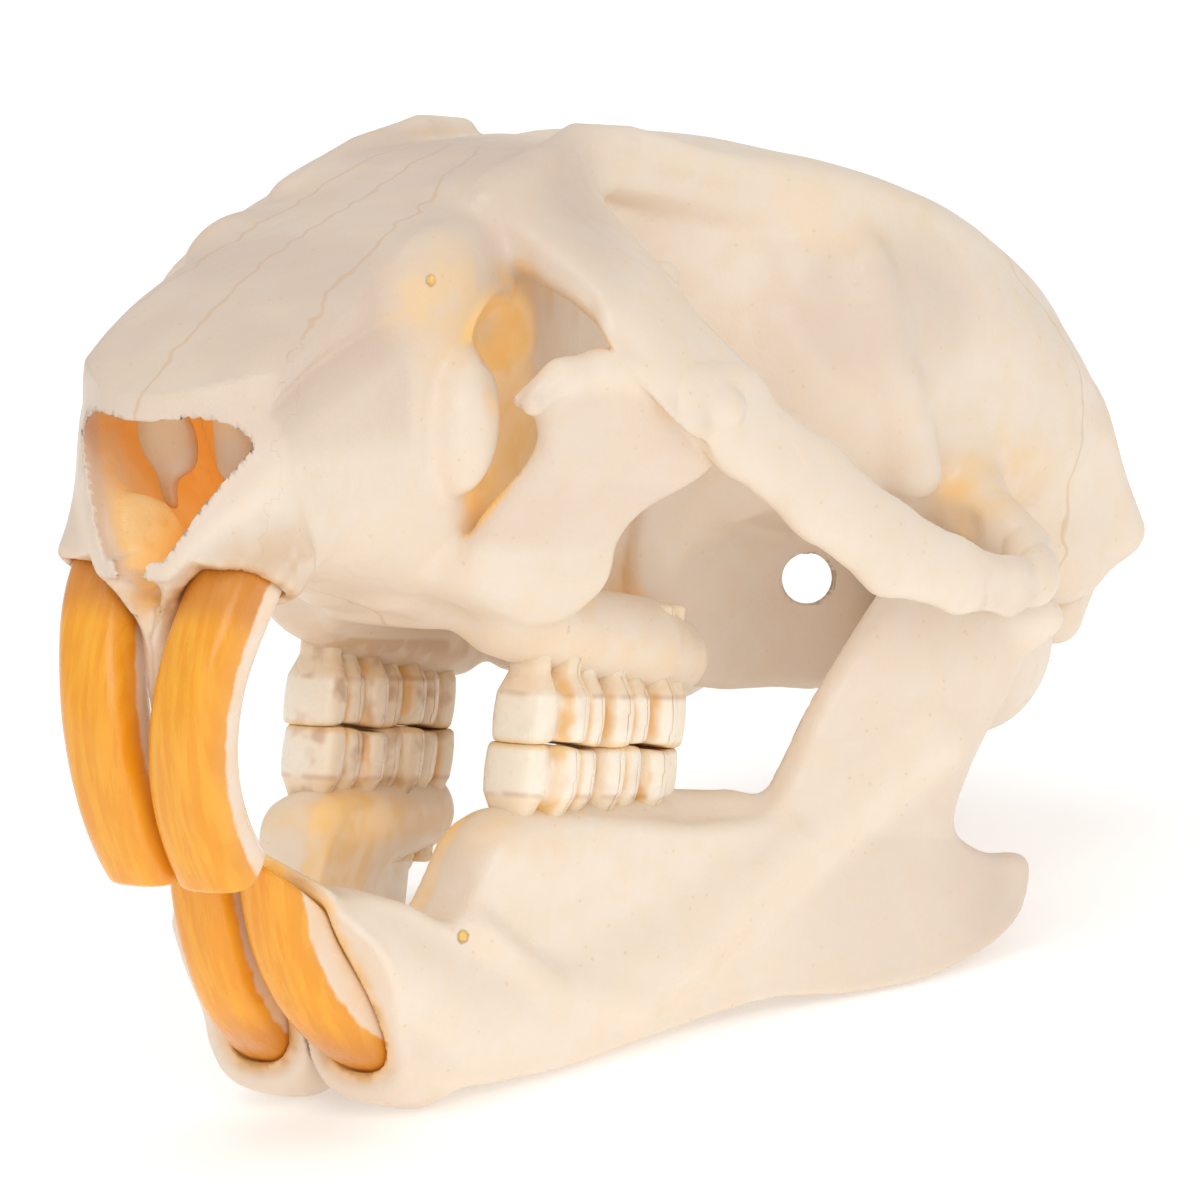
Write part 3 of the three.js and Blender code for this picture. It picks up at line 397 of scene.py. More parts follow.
def cranium(x, y, z):
    x = np.abs(x)
    tube = rostrum_tube(x, y, z)
    bone = join(trim(tube, y - ROSTRUM_END, 0.3), trim(roof(x, y, z), y - 31.8, 0.5), 0.6)
    bone = trim(bone, nasal_front(x) - y, 0.1)
    bone = join(bone, trim(frontal(x, y, z), np.maximum(10 - y, y - 20), 0.5), 0.6)
    bone = join(bone, root_swelling(x, y, z), 0.8)
    bone = join(bone, brow(x, y, z), 0.5)
    bone = trim(bone, -canal(x, y, z), 0.4)
    bone = join(bone, capsule(x, y, z), 0.35)
    tooth = upper_incisor(x, y, z)
    aperture = most(tube + ROSTRUM_WALL, x - aperture_half(z), y - NOSE_DEPTH, NOSE_FLOOR - z, 0.25 - tooth)
    bone = trim(bone, -np.minimum(aperture, nose_floor(x, y, z)), 0.1)
    rim = 3.7 - 0.35 * y - 1.3 * np.maximum(1.4 - x, 0)
    bone = join(bone, trim(tooth - SOCKET_COLLAR, np.maximum(rim + 0.1 - z, z - SOCKET_TOP), 0.3), 0.5)
    bone = trim(bone, -trim(tooth - 0.9, z - rim, 0.1), 0.12)
    bone = join(bone, septum(x, y, z), 0.4)
    case = braincase_tube(x, y, z)
    ends = np.maximum(16.3 - y, y - SKULL_LENGTH_END + 0.1 * (z - 6))
    bone = join(bone, trim(case, ends, 0.8), 0.9)
    bone = join(bone, lambdoid(x, y, z), 0.8)
    bone = join(bone, condyle(x, y, z), 0.5)
    bone = join(bone, np.minimum(paroccipital(x, y, z), mastoid(x, y, z)), 0.8)
    bone = join(bone, squamosal_ridge(x, y, z), 0.8)
    bone = join(bone, alveolus(x, y, z), 0.8)
    bone = join(bone, palate(x, y, z), 0.5)
    bone = join(bone, pterygoid(x, y, z), 0.4)
    root = join(cheek_root(x, y, z), root_knob(x, y, z), 0.3)
    bar = join(arch_bar(x, y, z), join(arch_back(x, y, z), root, 0.3), 0.5)
    bone = join(bone, bar, 0.7)
    eye_canal = join(infraorbital(x, y, z), canal_mouth(x, y, z))
    bone = trim(bone, -np.minimum(eye_canal, tear_slot(x, y, z)), 0.25)
    blend = np.clip(0.9 - (z - 3.6) * 0.6, 0.15, 0.9)
    zygoma = join(join(plate(x, y, z), plate_rim(x, y, z), 0.25), plate_foot(x, y, z), 0.5)
    bone = join(bone, zygoma, blend)
    bone = trim(bone, -np.minimum(glenoid_hollow(x, y, z), ear_hole(x, y, z)), 0.3)
    cavity = trim(case + BRAINCASE_WALL, np.maximum(CAVITY_START - y, y - CAVITY_END), 1.2)
    foramen = np.maximum(np.hypot(x / 1.15, z - FORAMEN_HEIGHT) - FORAMEN_RADIUS, FORAMEN_START - y)
    bone = most(bone, -sightline(x, y, z), -foramen, -cavity)
    return trim(bone, JOINT_GAP - np.minimum(tooth, bulla(x, y, z)), 0.1)


# The field is read on a grid near its zero surface, one vertex is put in each cell that the
# surface crosses, and each vertex is then moved onto the surface
COARSE = 4
NEAR_BAND = 1.7
CHUNK = 60000


def read(field, points):
    out = np.empty(len(points))
    for i in range(0, len(points), CHUNK):
        p = points[i : i + CHUNK]
        out[i : i + CHUNK] = field(p[:, 0], p[:, 1], p[:, 2])
    return out


def read_near(field, low, high, step):
    cells = [max(1, math.ceil((h - a) / (step * COARSE))) for a, h in zip(low, high)]
    axes = [a + np.arange(n + 1) * step * COARSE for a, n in zip(low, cells)]
    grid = np.stack(np.meshgrid(*axes, indexing="ij"), -1).reshape(-1, 3)
    rough = read(field, grid).reshape([n + 1 for n in cells])
    near = np.abs(rough) < NEAR_BAND * COARSE * step
    wanted = np.zeros(cells, bool)
    for n in range(8):
        a, b, c = n & 1, n >> 1 & 1, n >> 2 & 1
        wanted |= near[a : a + cells[0], b : b + cells[1], c : c + cells[2]]
    fine = np.zeros([n * COARSE + 1 for n in cells], bool)
    spread = wanted.repeat(COARSE, 0).repeat(COARSE, 1).repeat(COARSE, 2)
    for n in range(8):
        a, b, c = n & 1, n >> 1 & 1, n >> 2 & 1
        fine[a : a + spread.shape[0], b : b + spread.shape[1], c : c + spread.shape[2]] |= spread
    value = rough.repeat(COARSE, 0).repeat(COARSE, 1).repeat(COARSE, 2)
    value = value[: fine.shape[0], : fine.shape[1], : fine.shape[2]].copy()
    at = np.argwhere(fine)
    value[fine] = read(field, at * step + np.array(low))
    return value


def skin(field, low, high, step):
    value = read_near(field, low, high, step)
    shape = value.shape
    stride = np.array([shape[1] * shape[2], shape[2], 1])
    inside = value < 0
    count = np.zeros([n - 1 for n in shape], np.int8)
    for n in range(8):
        a, b, c = n & 1, n >> 1 & 1, n >> 2 & 1
        count += inside[a : a + shape[0] - 1, b : b + shape[1] - 1, c : c + shape[2] - 1]
    cells = np.argwhere((count > 0) & (count < 8))
    origin = cells @ stride
    flat = value.ravel()
    total = np.zeros((len(cells), 3))
    hits = np.zeros(len(cells))
    for axis in range(3):
        b, c = (axis + 1) % 3, (axis + 2) % 3
        for ob in (0, 1):
            for oc in (0, 1):
                start = origin + ob * stride[b] + oc * stride[c]
                v0, v1 = flat[start], flat[start + stride[axis]]
                crossed = (v0 < 0) != (v1 < 0)
                t = np.where(crossed, v0 / np.where(crossed, v0 - v1, 1), 0)
                total[crossed, axis] += t[crossed]
                total[crossed, b] += ob
                total[crossed, c] += oc
                hits += crossed
    points = np.array(low) + (cells + total / hits[:, None]) * step
    number = np.full(value.size, -1, np.int64)
    number[origin] = np.arange(len(cells))
    quads = []
    for axis in range(3):
        b, c = (axis + 1) % 3, (axis + 2) % 3
        here = inside.take(range(shape[axis] - 1), axis)
        there = inside.take(range(1, shape[axis]), axis)
        at = np.argwhere(here != there)
        at = at[(at[:, b] > 0) & (at[:, c] > 0) & (at[:, b] < shape[b] - 1) & (at[:, c] < shape[c] - 1)]
        n = at @ stride
        ring = np.stack([n - stride[b] - stride[c], n - stride[c], n, n - stride[b]], 1)
        ring = number[ring]
        out = inside[tuple(at.T)]
        ring[~out] = ring[~out][:, ::-1]
        quads.append(ring)
    quads = np.concatenate(quads)
    return points, quads[(quads >= 0).all(1)]


def largest(points, quads):
    label = np.arange(len(points))
    a = np.concatenate([quads[:, 0], quads[:, 1], quads[:, 2]])
    b = np.concatenate([quads[:, 1], quads[:, 2], quads[:, 3]])
    while True:
        low = np.minimum(label[a], label[b])
        new = label.copy()
        np.minimum.at(new, label[a], low)
        np.minimum.at(new, label[b], low)
        new = new[new]
        if (new == label).all():
            break
        label = new
    name, size = np.unique(label[quads[:, 0]], return_counts=True)
    quads = quads[label[quads[:, 0]] == name[size.argmax()]]
    used = np.unique(quads)
    index = np.full(len(points), -1)
    index[used] = np.arange(len(used))
    return points[used], index[quads]


def slope(field, points, reach=0.02):
    at = read(field, points)
    g = np.stack([(read(field, points + np.eye(3)[i] * reach) - at) / reach for i in range(3)], 1)
    return at, g


def settle(field, points, step):
    at, g = slope(field, points)
    move = -at[:, None] * g / np.maximum((g * g).sum(1), 0.05)[:, None]
    length = np.linalg.norm(move, axis=1)[:, None]
    points = points + move * np.minimum(1, 0.7 * step / np.maximum(length, 1e-9))
    at, g = slope(field, points)
    normals = g / np.maximum(np.linalg.norm(g, axis=1), 1e-9)[:, None]
    return points, normals


# Low-contrast lumps of natural bone: smooth random values on a lattice
LATTICE_SIZE = 48
LATTICE_START = 17.3
LATTICE = np.random.default_rng(7).random((LATTICE_SIZE,) * 3)


def lumps(points, size, seed=0.0):
    p = points / size + LATTICE_START + seed
    i = np.floor(p).astype(int)
    t = p - i
    t = t * t * (3 - 2 * t)
    out = 0
    for n in range(8):
        o = np.array([n & 1, n >> 1 & 1, n >> 2 & 1])
        w = np.prod(np.where(o, t, 1 - t), 1)
        j = (i + o) % LATTICE_SIZE
        out = out + w * LATTICE[j[:, 0], j[:, 1], j[:, 2]]
    return out * 2 - 1


def grown(field, low, high, step, relief=0.03):
    points, quads = largest(*skin(field, low, high, step))
    points, normals = settle(field, points, step)
    bump = lumps(points, 2.4) * 0.6 + lumps(points, 1.1, 5) * 0.4
    points = points + normals * (bump * relief)[:, None]
    return points, normals, quads


cad_low, cad_high = np.array(cad_box[0]), np.array(cad_box[1])


def soft_step(value, low, high):
    t = np.clip((value - low) / (high - low), 0, 1)
    return t * t * (3 - 2 * t)


# At a knife edge the field's own direction can fail, and the faces round the point give it instead
LEAST_AGREEMENT = 0.6


def mended(points, normals, quads):
    a, b, c, d = points[quads].transpose(1, 0, 2)
    across = np.cross(c - a, d - b)
    corners = quads.ravel()
    own = np.stack([np.bincount(corners, np.repeat(across[:, k], 4), len(points)) for k in range(3)], 1)
    own /= np.linalg.norm(own, axis=1, keepdims=True) + 1e-12
    return np.where(((own * normals).sum(1) < LEAST_AGREEMENT)[:, None], own, normals)


def piece(name, points, normals, quads, facts, material):
    mesh = bpy.data.meshes.new(name)
    at = np.clip(laid_down(points), cad_low, cad_high)
    mesh.vertices.add(len(at))
    mesh.vertices.foreach_set("co", at.ravel())
    mesh.loops.add(quads.size)
    mesh.loops.foreach_set("vertex_index", quads.ravel().astype(np.int32))
    mesh.polygons.add(len(quads))
    mesh.polygons.foreach_set("loop_start", np.arange(0, quads.size, 4, dtype=np.int32))
    mesh.update(calc_edges=True)
    mesh.validate()
    spot = mesh.attributes.new("spot", "FLOAT_VECTOR", "POINT")
    spot.data.foreach_set("vector", points.ravel())
    fleck = soft_step(lumps(points, 0.55, 9) * 0.6 + lumps(points, 0.26, 11) * 0.4, -0.5, 0.5)
    for key, values in {**facts, "fleck": fleck}.items():
        mesh.attributes.new(key, "FLOAT", "POINT").data.foreach_set("value", values)
    mesh.polygons.foreach_set("use_smooth", np.ones(len(mesh.polygons), bool))
    mesh.normals_split_custom_set_from_vertices(turned(mended(points, normals, quads)))
    mesh.materials.append(material)
    obj = bpy.data.objects.new(name, mesh)
    bpy.context.scene.collection.objects.link(obj)
    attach(obj, "root")
    return obj


def part_of(points, normals, quads, facts, keep):
    quads = quads[keep]
    used, index = np.unique(quads, return_inverse=True)
    return points[used], normals[used], index.reshape(-1, 4), {k: v[used] for k, v in facts.items()}


# How deep a point lies in a hollow, and how thin the bone is there, felt along its normal
NEAR_PROBE = 0.5
FAR_PROBE = 1.5
WALL_PROBE = 0.55


def recess(field, points, normals):
    near = np.clip(1 - read(field, points + normals * NEAR_PROBE) / NEAR_PROBE, 0, 1)
    far = np.clip(1 - read(field, points + normals * FAR_PROBE) / FAR_PROBE, 0, 1)
    return near * 0.5 + far * 0.5


def thinness(field, points, normals):
    deep = read(field, points - normals * WALL_PROBE)
    return np.clip(1 + deep / 0.3, 0, 1)


def mirrored(points, normals, quads):
    flip = np.array([-1, 1, 1])
    return points * flip, normals * flip, quads[:, ::-1]


def new_material(name):
    material = bpy.data.materials.new(name)
    material.use_nodes = True
    return material


def node(tree, kind, sockets=(), **settings):
    made = tree.nodes.new(kind)
    for key, value in settings.items():
        setattr(made, key, value)
    for key, value in dict(sockets).items():
        if isinstance(value, bpy.types.NodeSocket):
            tree.links.new(value, made.inputs[key])
        else:
            made.inputs[key].default_value = value
    return made


def reckon(tree, operation, *values, clamp=False):
    sockets = dict(enumerate(values))
    return node(tree, "ShaderNodeMath", sockets, operation=operation, use_clamp=clamp).outputs[0]


def fade(tree, value, low, high, start=0.0, end=1.0):
    sockets = {"Value": value, "From Min": low, "From Max": high, "To Min": start, "To Max": end}
    return node(tree, "ShaderNodeMapRange", sockets, interpolation_type="SMOOTHSTEP").outputs[0]


def blend(tree, amount, a, b):
    a, b = [(*c, 1) if isinstance(c, tuple) and len(c) == 3 else c for c in (a, b)]
    return node(tree, "ShaderNodeMix", {0: amount, 6: a, 7: b}, data_type="RGBA").outputs[2]


def noise(tree, spot, size, detail=2.0):
    sockets = {"Vector": spot, "Scale": 1 / size, "Detail": detail}
    return node(tree, "ShaderNodeTexNoise", sockets).outputs[0]


def fact(tree, name, output="Fac"):
    return node(tree, "ShaderNodeAttribute", attribute_name=name).outputs[output]


def effect(name, inputs, outputs):
    tree = bpy.data.node_groups.new(name, "ShaderNodeTree")
    for label, kind in inputs.items():
        tree.interface.new_socket(name=label, in_out="INPUT", socket_type="NodeSocket" + kind)
    for label, kind in outputs.items():
        tree.interface.new_socket(name=label, in_out="OUTPUT", socket_type="NodeSocket" + kind)
    return tree, tree.nodes.new("NodeGroupInput").outputs, tree.nodes.new("NodeGroupOutput")


def use(tree, group, sockets):
    made = tree.nodes.new("ShaderNodeGroup")
    made.node_tree = group
    for key, value in sockets.items():
        if isinstance(value, bpy.types.NodeSocket):
            tree.links.new(value, made.inputs[key])
        else:
            made.inputs[key].default_value = value
    return made.outputs


# Natural bone is finely grained and pored, the pores in scattered groups
grain_group, given, put = effect(
    "bone grain", {"Spot": "Vector", "Fleck": "Float"}, {"Grain": "Float", "Pore": "Float"}
)
cells = node(grain_group, "ShaderNodeTexVoronoi", {"Vector": given["Spot"], "Scale": 2.6})
pit = fade(grain_group, cells.outputs["Distance"], 0.17, 0.06)
chosen = fade(grain_group, given["Fleck"], 0.5, 0.8)
grain_group.links.new(noise(grain_group, given["Spot"], 0.09, 0), put.inputs["Grain"])
grain_group.links.new(reckon(grain_group, "MULTIPLY", pit, chosen), put.inputs["Pore"])

# Bone colour: ivory, pinkish grey where it is thin, amber where fat has stayed in it and as painted shade
# deep in hollows, brown by the tooth sockets
PALE = (0.90, 0.78, 0.655)
THIN_BONE = (0.64, 0.49, 0.39)
AMBER = (0.89, 0.60, 0.28)
DEEP_AMBER = (0.86, 0.47, 0.09)
BROWN = (0.40, 0.15, 0.04)
SEAM_TAN = (0.66, 0.42, 0.24)
# Painted glow: light the amber parts give off of their own, in place of light shining through thin bone
PAINTED_GLOW = (0.2, 0.12, 0.03)
colour_group, given, put = effect(
    "bone colour",
    {"Base": "Color", "Thin": "Float", "Amber": "Float", "Stain": "Float", "Line": "Float",
     "Cloud": "Float", "Fleck": "Float", "Pore": "Float"},
    {"Colour": "Color"},
)
g = colour_group
colour = blend(g, reckon(g, "MULTIPLY", given["Cloud"], 0.35), given["Base"], PALE)
colour = blend(g, reckon(g, "MULTIPLY", given["Fleck"], 0.12), colour, AMBER)
thin = reckon(g, "MULTIPLY", given["Thin"], fade(g, given["Cloud"], 0, 1, 0.55, 0.95))
colour = blend(g, thin, colour, THIN_BONE)
# Amber from the fat stain, and painted shade in hollows
fat_stain_and_shade = reckon(g, "MULTIPLY", given["Amber"], fade(g, given["Fleck"], 0, 1, 0.75, 1.15), clamp=True)
colour = blend(g, fade(g, fat_stain_and_shade, 0.02, 0.6), colour, AMBER)
colour = blend(g, fade(g, fat_stain_and_shade, 0.55, 1.05), colour, DEEP_AMBER)
colour = blend(g, reckon(g, "MULTIPLY", given["Line"], 0.45), colour, SEAM_TAN)
colour = blend(g, reckon(g, "MULTIPLY", given["Pore"], 0.3), colour, SEAM_TAN)
blot = reckon(g, "MULTIPLY", given["Stain"], fade(g, given["Fleck"], 0.2, 0.9, 0.25, 1.0))
colour = blend(g, reckon(g, "MULTIPLY", blot, 0.9), colour, BROWN)
g.links.new(colour, put.inputs["Colour"])


def bone_look(name, base):
    material = new_material(name)
    tree = material.node_tree
    shader = tree.nodes["Principled BSDF"]
    spot = fact(tree, "spot", "Vector")
    fleck = fact(tree, "fleck")
    grain = use(tree, grain_group, {"Spot": spot, "Fleck": fleck})
    seams = [reckon(tree, "ABSOLUTE", fact(tree, key)) for key in ("seam_mid", "seam")]
    seam = reckon(tree, "MINIMUM", *seams)
    line = fade(tree, seam, 0.07, 0.015)
    # The foramina are not cut through: each is painted in as an amber spot with a glow and a dent, painted
    # shade for the inside of the hole
    hole = fade(tree, fact(tree, "hole"), 0.2, 0.08)
    amber = reckon(tree, "MAXIMUM", fact(tree, "amber"), hole)
    colour = use(tree, colour_group, {
        "Base": (*base, 1), "Thin": fact(tree, "thin"), "Amber": amber, "Stain": fact(tree, "stain"),
        "Line": line, "Cloud": fact(tree, "cloud"), "Fleck": fleck, "Pore": grain["Pore"],
    })["Colour"]
    tree.links.new(colour, shader.inputs["Base Color"])
    rough = fade(tree, fleck, 0, 1, 0.36, 0.52)
    rough = reckon(tree, "MULTIPLY_ADD", amber, -0.08, rough)
    tree.links.new(rough, shader.inputs["Roughness"])
    # Painted glow: the amber parts, the foramina among them, give off a little light of their own, standing
    # in for light shining through thin bone
    painted_glow = blend(tree, fade(tree, amber, 0.15, 0.9), (0, 0, 0), PAINTED_GLOW)
    tree.links.new(painted_glow, shader.inputs["Emission Color"])
    shader.inputs["Emission Strength"].default_value = 1
    height = reckon(tree, "MULTIPLY", grain["Grain"], 0.006)
    height = reckon(tree, "MULTIPLY_ADD", fleck, 0.012, height)
    height = reckon(tree, "MULTIPLY_ADD", line, -0.006, height)
    height = reckon(tree, "MULTIPLY_ADD", hole, -0.12, height)
    bump = node(tree, "ShaderNodeBump", {"Strength": 1.0, "Distance": 1 / MILLIMETRES, "Height": height})
    tree.links.new(bump.outputs[0], shader.inputs["Normal"])
    return material


# What the bone colour is told at each point: how thin, how amber (fat stain, and painted shade in
# hollows), how stained, and how far the nearest suture and foramen are
FAR_OFF = 9.0


def bone_facts(field, points, normals):
    # The amber grows with the depth of the hollow a point lies in: partly the bone's fat stain, partly
    # painted shade in recesses
    deep = recess(field, points, normals)
    away = np.full(len(points), FAR_OFF)
    return {
        "thin": thinness(field, points, normals) * 0.6, "amber": deep**2 * 0.5, "stain": away * 0,
        "seam": away, "seam_mid": away.copy(), "hole": away.copy(),
        "cloud": soft_step(lumps(points, 2.4, 3) * 0.7 + lumps(points, 0.9, 8) * 0.3, -0.6, 0.6),
    }


nasal_edge = curve((1.1, 2.75), (3, 2.35), (4.6, 2.05), (7, 1.75), (9, 1.4), (11, 1.1), (11.6, 0.6))
lambdoid_edge = curve((5.5, 29.7), (6.8, 29.7), (8, 29.6), (9.5, 29.4), (10.5, 28.6), (11.5, 27.2))
# Small foramina, not cut as holes but painted in as amber spots of painted shade
FORAMINA = ((3.5, 5.75, 10.5), (4.6, 12.0, 3.95), (4.0, 11.9, 2.55), (4.35, 12.6, 4.3))


# A suture is left out where its distance is pushed away
PUSH = 3


def pushed(distance, where):
    return distance + np.where(distance < 0, -PUSH, PUSH) * where


def cranium_facts(points, normals):
    facts = bone_facts(cranium, points, normals)
    side, y, z = np.abs(points[:, 0]), points[:, 1], points[:, 2]
    tube = rostrum_tube(side, y, z)
    nose = soft_step(-tube, 0.2, 0.28) * soft_step(y, 6.5, NOSE_DEPTH)
    nose = nose * soft_step(y - nasal_front(side), 0.3, 0.9)
    canals = most(-canal(side, y, z), -infraorbital(side, y, z), -canal_mouth(side, y, z))
    within = soft_step(plate_middle(y, z) - side, -0.25, 0.1)
    cheek = soft_step(canals, -0.7, -0.1) * soft_step(capsule(side, y, z), 0.0, 0.3) * within
    cheek = cheek * soft_step(z, 10.7, 10.0) * soft_step(np.abs(tube), 1.4, 0.2)
    socket = soft_step(upper_incisor(side, y, z), 0.75, 0.1) * soft_step(z, 0.6, 2.2) * (y < 3.4)
    orbit = soft_step(blob((3.0, 13.4, 5.2), (1.7, 2.0, 2.6))(side, y, z), 0.5, -0.4)
    hollow = soft_step(blob((7.2, 26.0, 6.0), (1.4, 2.6, 1.6))(side, y, z), 1.2, -0.6)
    crest = soft_step(blob((5.5, 20.5, 12.6), (1.6, 3.6, 1.2))(side, y, z), 0.5, -0.5)
    swelling = soft_step(blob((3.3, 6.3, 10.0), (1.3, 1.6, 1.5))(side, y, z), 0.8, -0.9)
    gums = soft_step(np.abs(z - 2.0), 1.0, 0.1) * soft_step(alveolus(side, y, z), 0.4, 0.0) * (side > 2)
    creased = facts["amber"] > 0.02
    facts["amber"] = np.clip(
        facts["amber"] + nose * (0.42 + 0.5 * soft_step(y, 1.5, 4.5)) + 0.6 * cheek
        + 0.4 * orbit * creased + 0.26 * hollow + 0.15 * crest + 0.3 * swelling + 0.2 * gums
        + 0.35 * socket, 0, 1,
    )
    # Brown by the incisor sockets, and on the right-hand side only also along the cheek-tooth gums
    facts["stain"] = np.clip(socket**2 * 0.8 + gums * soft_step(-points[:, 0], 1, 2) * 0.4, 0, 1)
    roofed = soft_step(z - 0.5 * y, 5.2, 6.6) * soft_step(y, 15, 12) * (1 - nose)
    patch = soft_step(blob((5.9, 21.5, 10.4), (1.6, 3.4, 1.9))(side, y, z), 0.6, -0.6)
    facts["thin"] = np.clip(np.maximum(facts["thin"] * 0.7, 0.75 * roofed + 0.45 * patch), 0, 1)
    wander = lumps(points, 0.35, 4) * 0.16 + lumps(points, 1.2, 6) * 0.12
    sides = soft_step(normals[:, 2], 0.55, 0.35)
    ends = soft_step(y, 11.4, 12.4) + soft_step(nose, 0.2, 0.8)
    facts["seam_mid"] = pushed(points[:, 0] + wander * 0.7, ends)
    nasal = pushed(side - nasal_edge(y) + wander, soft_step(y, 11.2, 12.0) + sides)
    back = pushed(y - lambdoid_edge(z) + wander, soft_step(3.5 - side, 0, 1))
    facts["seam"] = np.where(np.abs(nasal) < np.abs(back), nasal, back)
    folded = np.stack([side, y, z], 1)
    facts["hole"] = np.min([np.linalg.norm(folded - f, axis=1) for f in FORAMINA], 0)
    return facts


bone_material = bone_look("cranium_bone", (0.82, 0.69, 0.555))
points, normals, quads = grown(cranium, (-11.2, -1.6, -0.9), (11.2, 36.4, 15), MESH_STEP)
facts = cranium_facts(points, normals)
middle = points[quads[:, 0], 1]
for name, low, high in (
    ("cranium_snout", -9, 9.5),
    ("cranium_cheek", 9.5, 19.5),
    ("cranium_braincase", 19.5, 26.5),
    ("cranium_occiput", 26.5, 99),
):
    bit = part_of(points, normals, quads, facts, (middle >= low) & (middle < high))
    obj = piece(name, *bit, bone_material)
    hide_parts("cranium")

# The scrolls of the nose: a paper-thin curved leaf of bone on each side of the nasal passage, hung
# from its roof, translucent and yellow with dried fat.
SCROLL_HALF = 0.13
scroll_shape = outline(
    (0.5, 9.2), (1.2, 9.2), (1.25, 7.3), (1.7, 6.9), (1.6, 6.2), (1.3, 5.7), (1.25, 5.1), (0.9, 4.9),
    (0.75, 5.5), (0.35, 5.9), (0.3, 6.8), (0.5, 7.4),
)


def scroll(x, y, z):
    leaf = y - 1.7 - 0.55 * (x - 0.9) ** 2 + 0.3 * (z - 6.8) - 0.25 * np.sin(z * 1.7) * (x - 0.6)
    leaf = trim(np.abs(leaf) * 0.85 - SCROLL_HALF, scroll_shape(x, z), 0.12)
    return trim(leaf, rostrum_tube(x, y, z) + 0.2, 0.05)


grown_scroll = grown(scroll, (0, 0.4, 4.5), (2.4, 5.4, 9.3), MESH_STEP * 0.5, relief=0.04)
scroll_facts = bone_facts(scroll, *grown_scroll[:2])
scroll_facts["amber"] = 0.2 + 0.5 * soft_step(grown_scroll[0][:, 2], 6.2, 8.5)
for hand, bit in (("left", grown_scroll), ("right", mirrored(*grown_scroll))):
    obj = piece(f"nose_scroll_{hand}", *bit, scroll_facts, bone_material)
    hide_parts("cranium")

# The cheek teeth: three in each row, high crowns with folded enamel round yellowish dentine, set
# tightly one behind another in the upper and the lower jaw. Each row is a mesh of its own.
MOLAR_LOBES = (11.6, 12.4, 13.2, 14.2, 15.0, 15.95, 16.75)
MOLAR_NECK = 1.15


def molars(side, root_end, crown_end):
    def field(x, y, z):
        best = np.full(np.shape(x), 1e9)
        up = side * (z - crown_end)
        waist = 0.26 * np.clip((up - MOLAR_NECK) / 0.5, 0, 1)
        girth = 1.02 - waist + 0.06 * np.sin(np.clip(up, 0, 1.6) * 2.6)
        for i, at in enumerate(MOLAR_LOBES):
            last = i in (0, len(MOLAR_LOBES) - 1)
            half = (0.72 if last else 0.92 - 0.04 * (i % 2)) * girth
            centre = 2.95 + (at - 11.5) * 0.06 + (0.1 if i % 2 else -0.06) + 0.05 * side
            u = np.abs(x - centre) / half
            v = np.abs(y - at - 0.08 * up * side) / (0.47 * girth)
            f = (u**SECTION_POWER + v**SECTION_POWER) ** (1 / SECTION_POWER) + 1e-6
            near = np.hypot(u * half, v * 0.47 * girth) * (1 - 1 / f)
            best = join(best, near, 0.06 if i in (3, 5) else 0.2)
        end = crown_end + 0.06 * np.sin(y * 2.1 + side) * side
        return trim(best, np.maximum(side * (end - z), side * (z - root_end)), 0.16)

    return field


UPPER_CROWN_END = -0.14
LOWER_CROWN_END = -0.2
upper_molars = molars(1, 3.2, UPPER_CROWN_END)
lower_molars = molars(-1, -3.4, LOWER_CROWN_END)
MOLAR_CREAM = (0.96, 0.86, 0.73)
ROOT_CREAM = (0.90, 0.74, 0.55)
molar_material = new_material("molar_enamel")
tree = molar_material.node_tree
shader = tree.nodes["Principled BSDF"]
spot = fact(tree, "spot", "Vector")
fleck = fact(tree, "fleck")
grain = use(tree, grain_group, {"Spot": spot, "Fleck": fleck})
up, gap, far = fact(tree, "up"), fact(tree, "gap"), fact(tree, "far_side")
rooty = fade(tree, up, 1.0, 1.35)
colour = blend(tree, rooty, MOLAR_CREAM, ROOT_CREAM)
colour = blend(tree, reckon(tree, "MULTIPLY", fleck, 0.1), colour, AMBER)
cleft = fade(tree, reckon(tree, "ABSOLUTE", gap), 0.2, 0.03)
cleft = reckon(tree, "MULTIPLY", cleft, fade(tree, fleck, 0.1, 0.9, 0.35, 1.0))
colour = blend(tree, reckon(tree, "MULTIPLY", cleft, 0.75), colour, DEEP_AMBER)
bite = fade(tree, up, 0.16, 0.0)
colour = blend(tree, reckon(tree, "MULTIPLY", bite, 0.7), colour, AMBER)
neck_off = reckon(tree, "ABSOLUTE", reckon(tree, "SUBTRACT", up, MOLAR_NECK))
neck = reckon(tree, "MULTIPLY", fade(tree, neck_off, 0.12, 0.0), fade(tree, fleck, 0.2, 0.8))
colour = blend(tree, reckon(tree, "MULTIPLY", neck, 0.3), colour, BROWN)
# The rows on the right-hand side get brown patches
far_row_browning = fade(tree, noise(tree, spot, 0.8, 2), 0.5, 0.7)
far_row_browning = reckon(tree, "MULTIPLY", far_row_browning, fade(tree, far, 0, 1, 0.12, 0.5))
colour = blend(tree, far_row_browning, colour, (0.46, 0.20, 0.06))
tree.links.new(colour, shader.inputs["Base Color"])
tree.links.new(fade(tree, fleck, 0, 1, 0.24, 0.42), shader.inputs["Roughness"])
shader.inputs["Subsurface Weight"].default_value = 0.25
shader.inputs["Subsurface Radius"].default_value = (1, 0.6, 0.35)
shader.inputs["Subsurface Scale"].default_value = 0.0004
height = reckon(tree, "MULTIPLY", grain["Grain"], 0.006)
height = reckon(tree, "MULTIPLY_ADD", cleft, -0.03, height)
bump = node(tree, "ShaderNodeBump", {"Strength": 1.0, "Distance": 1 / MILLIMETRES, "Height": height})
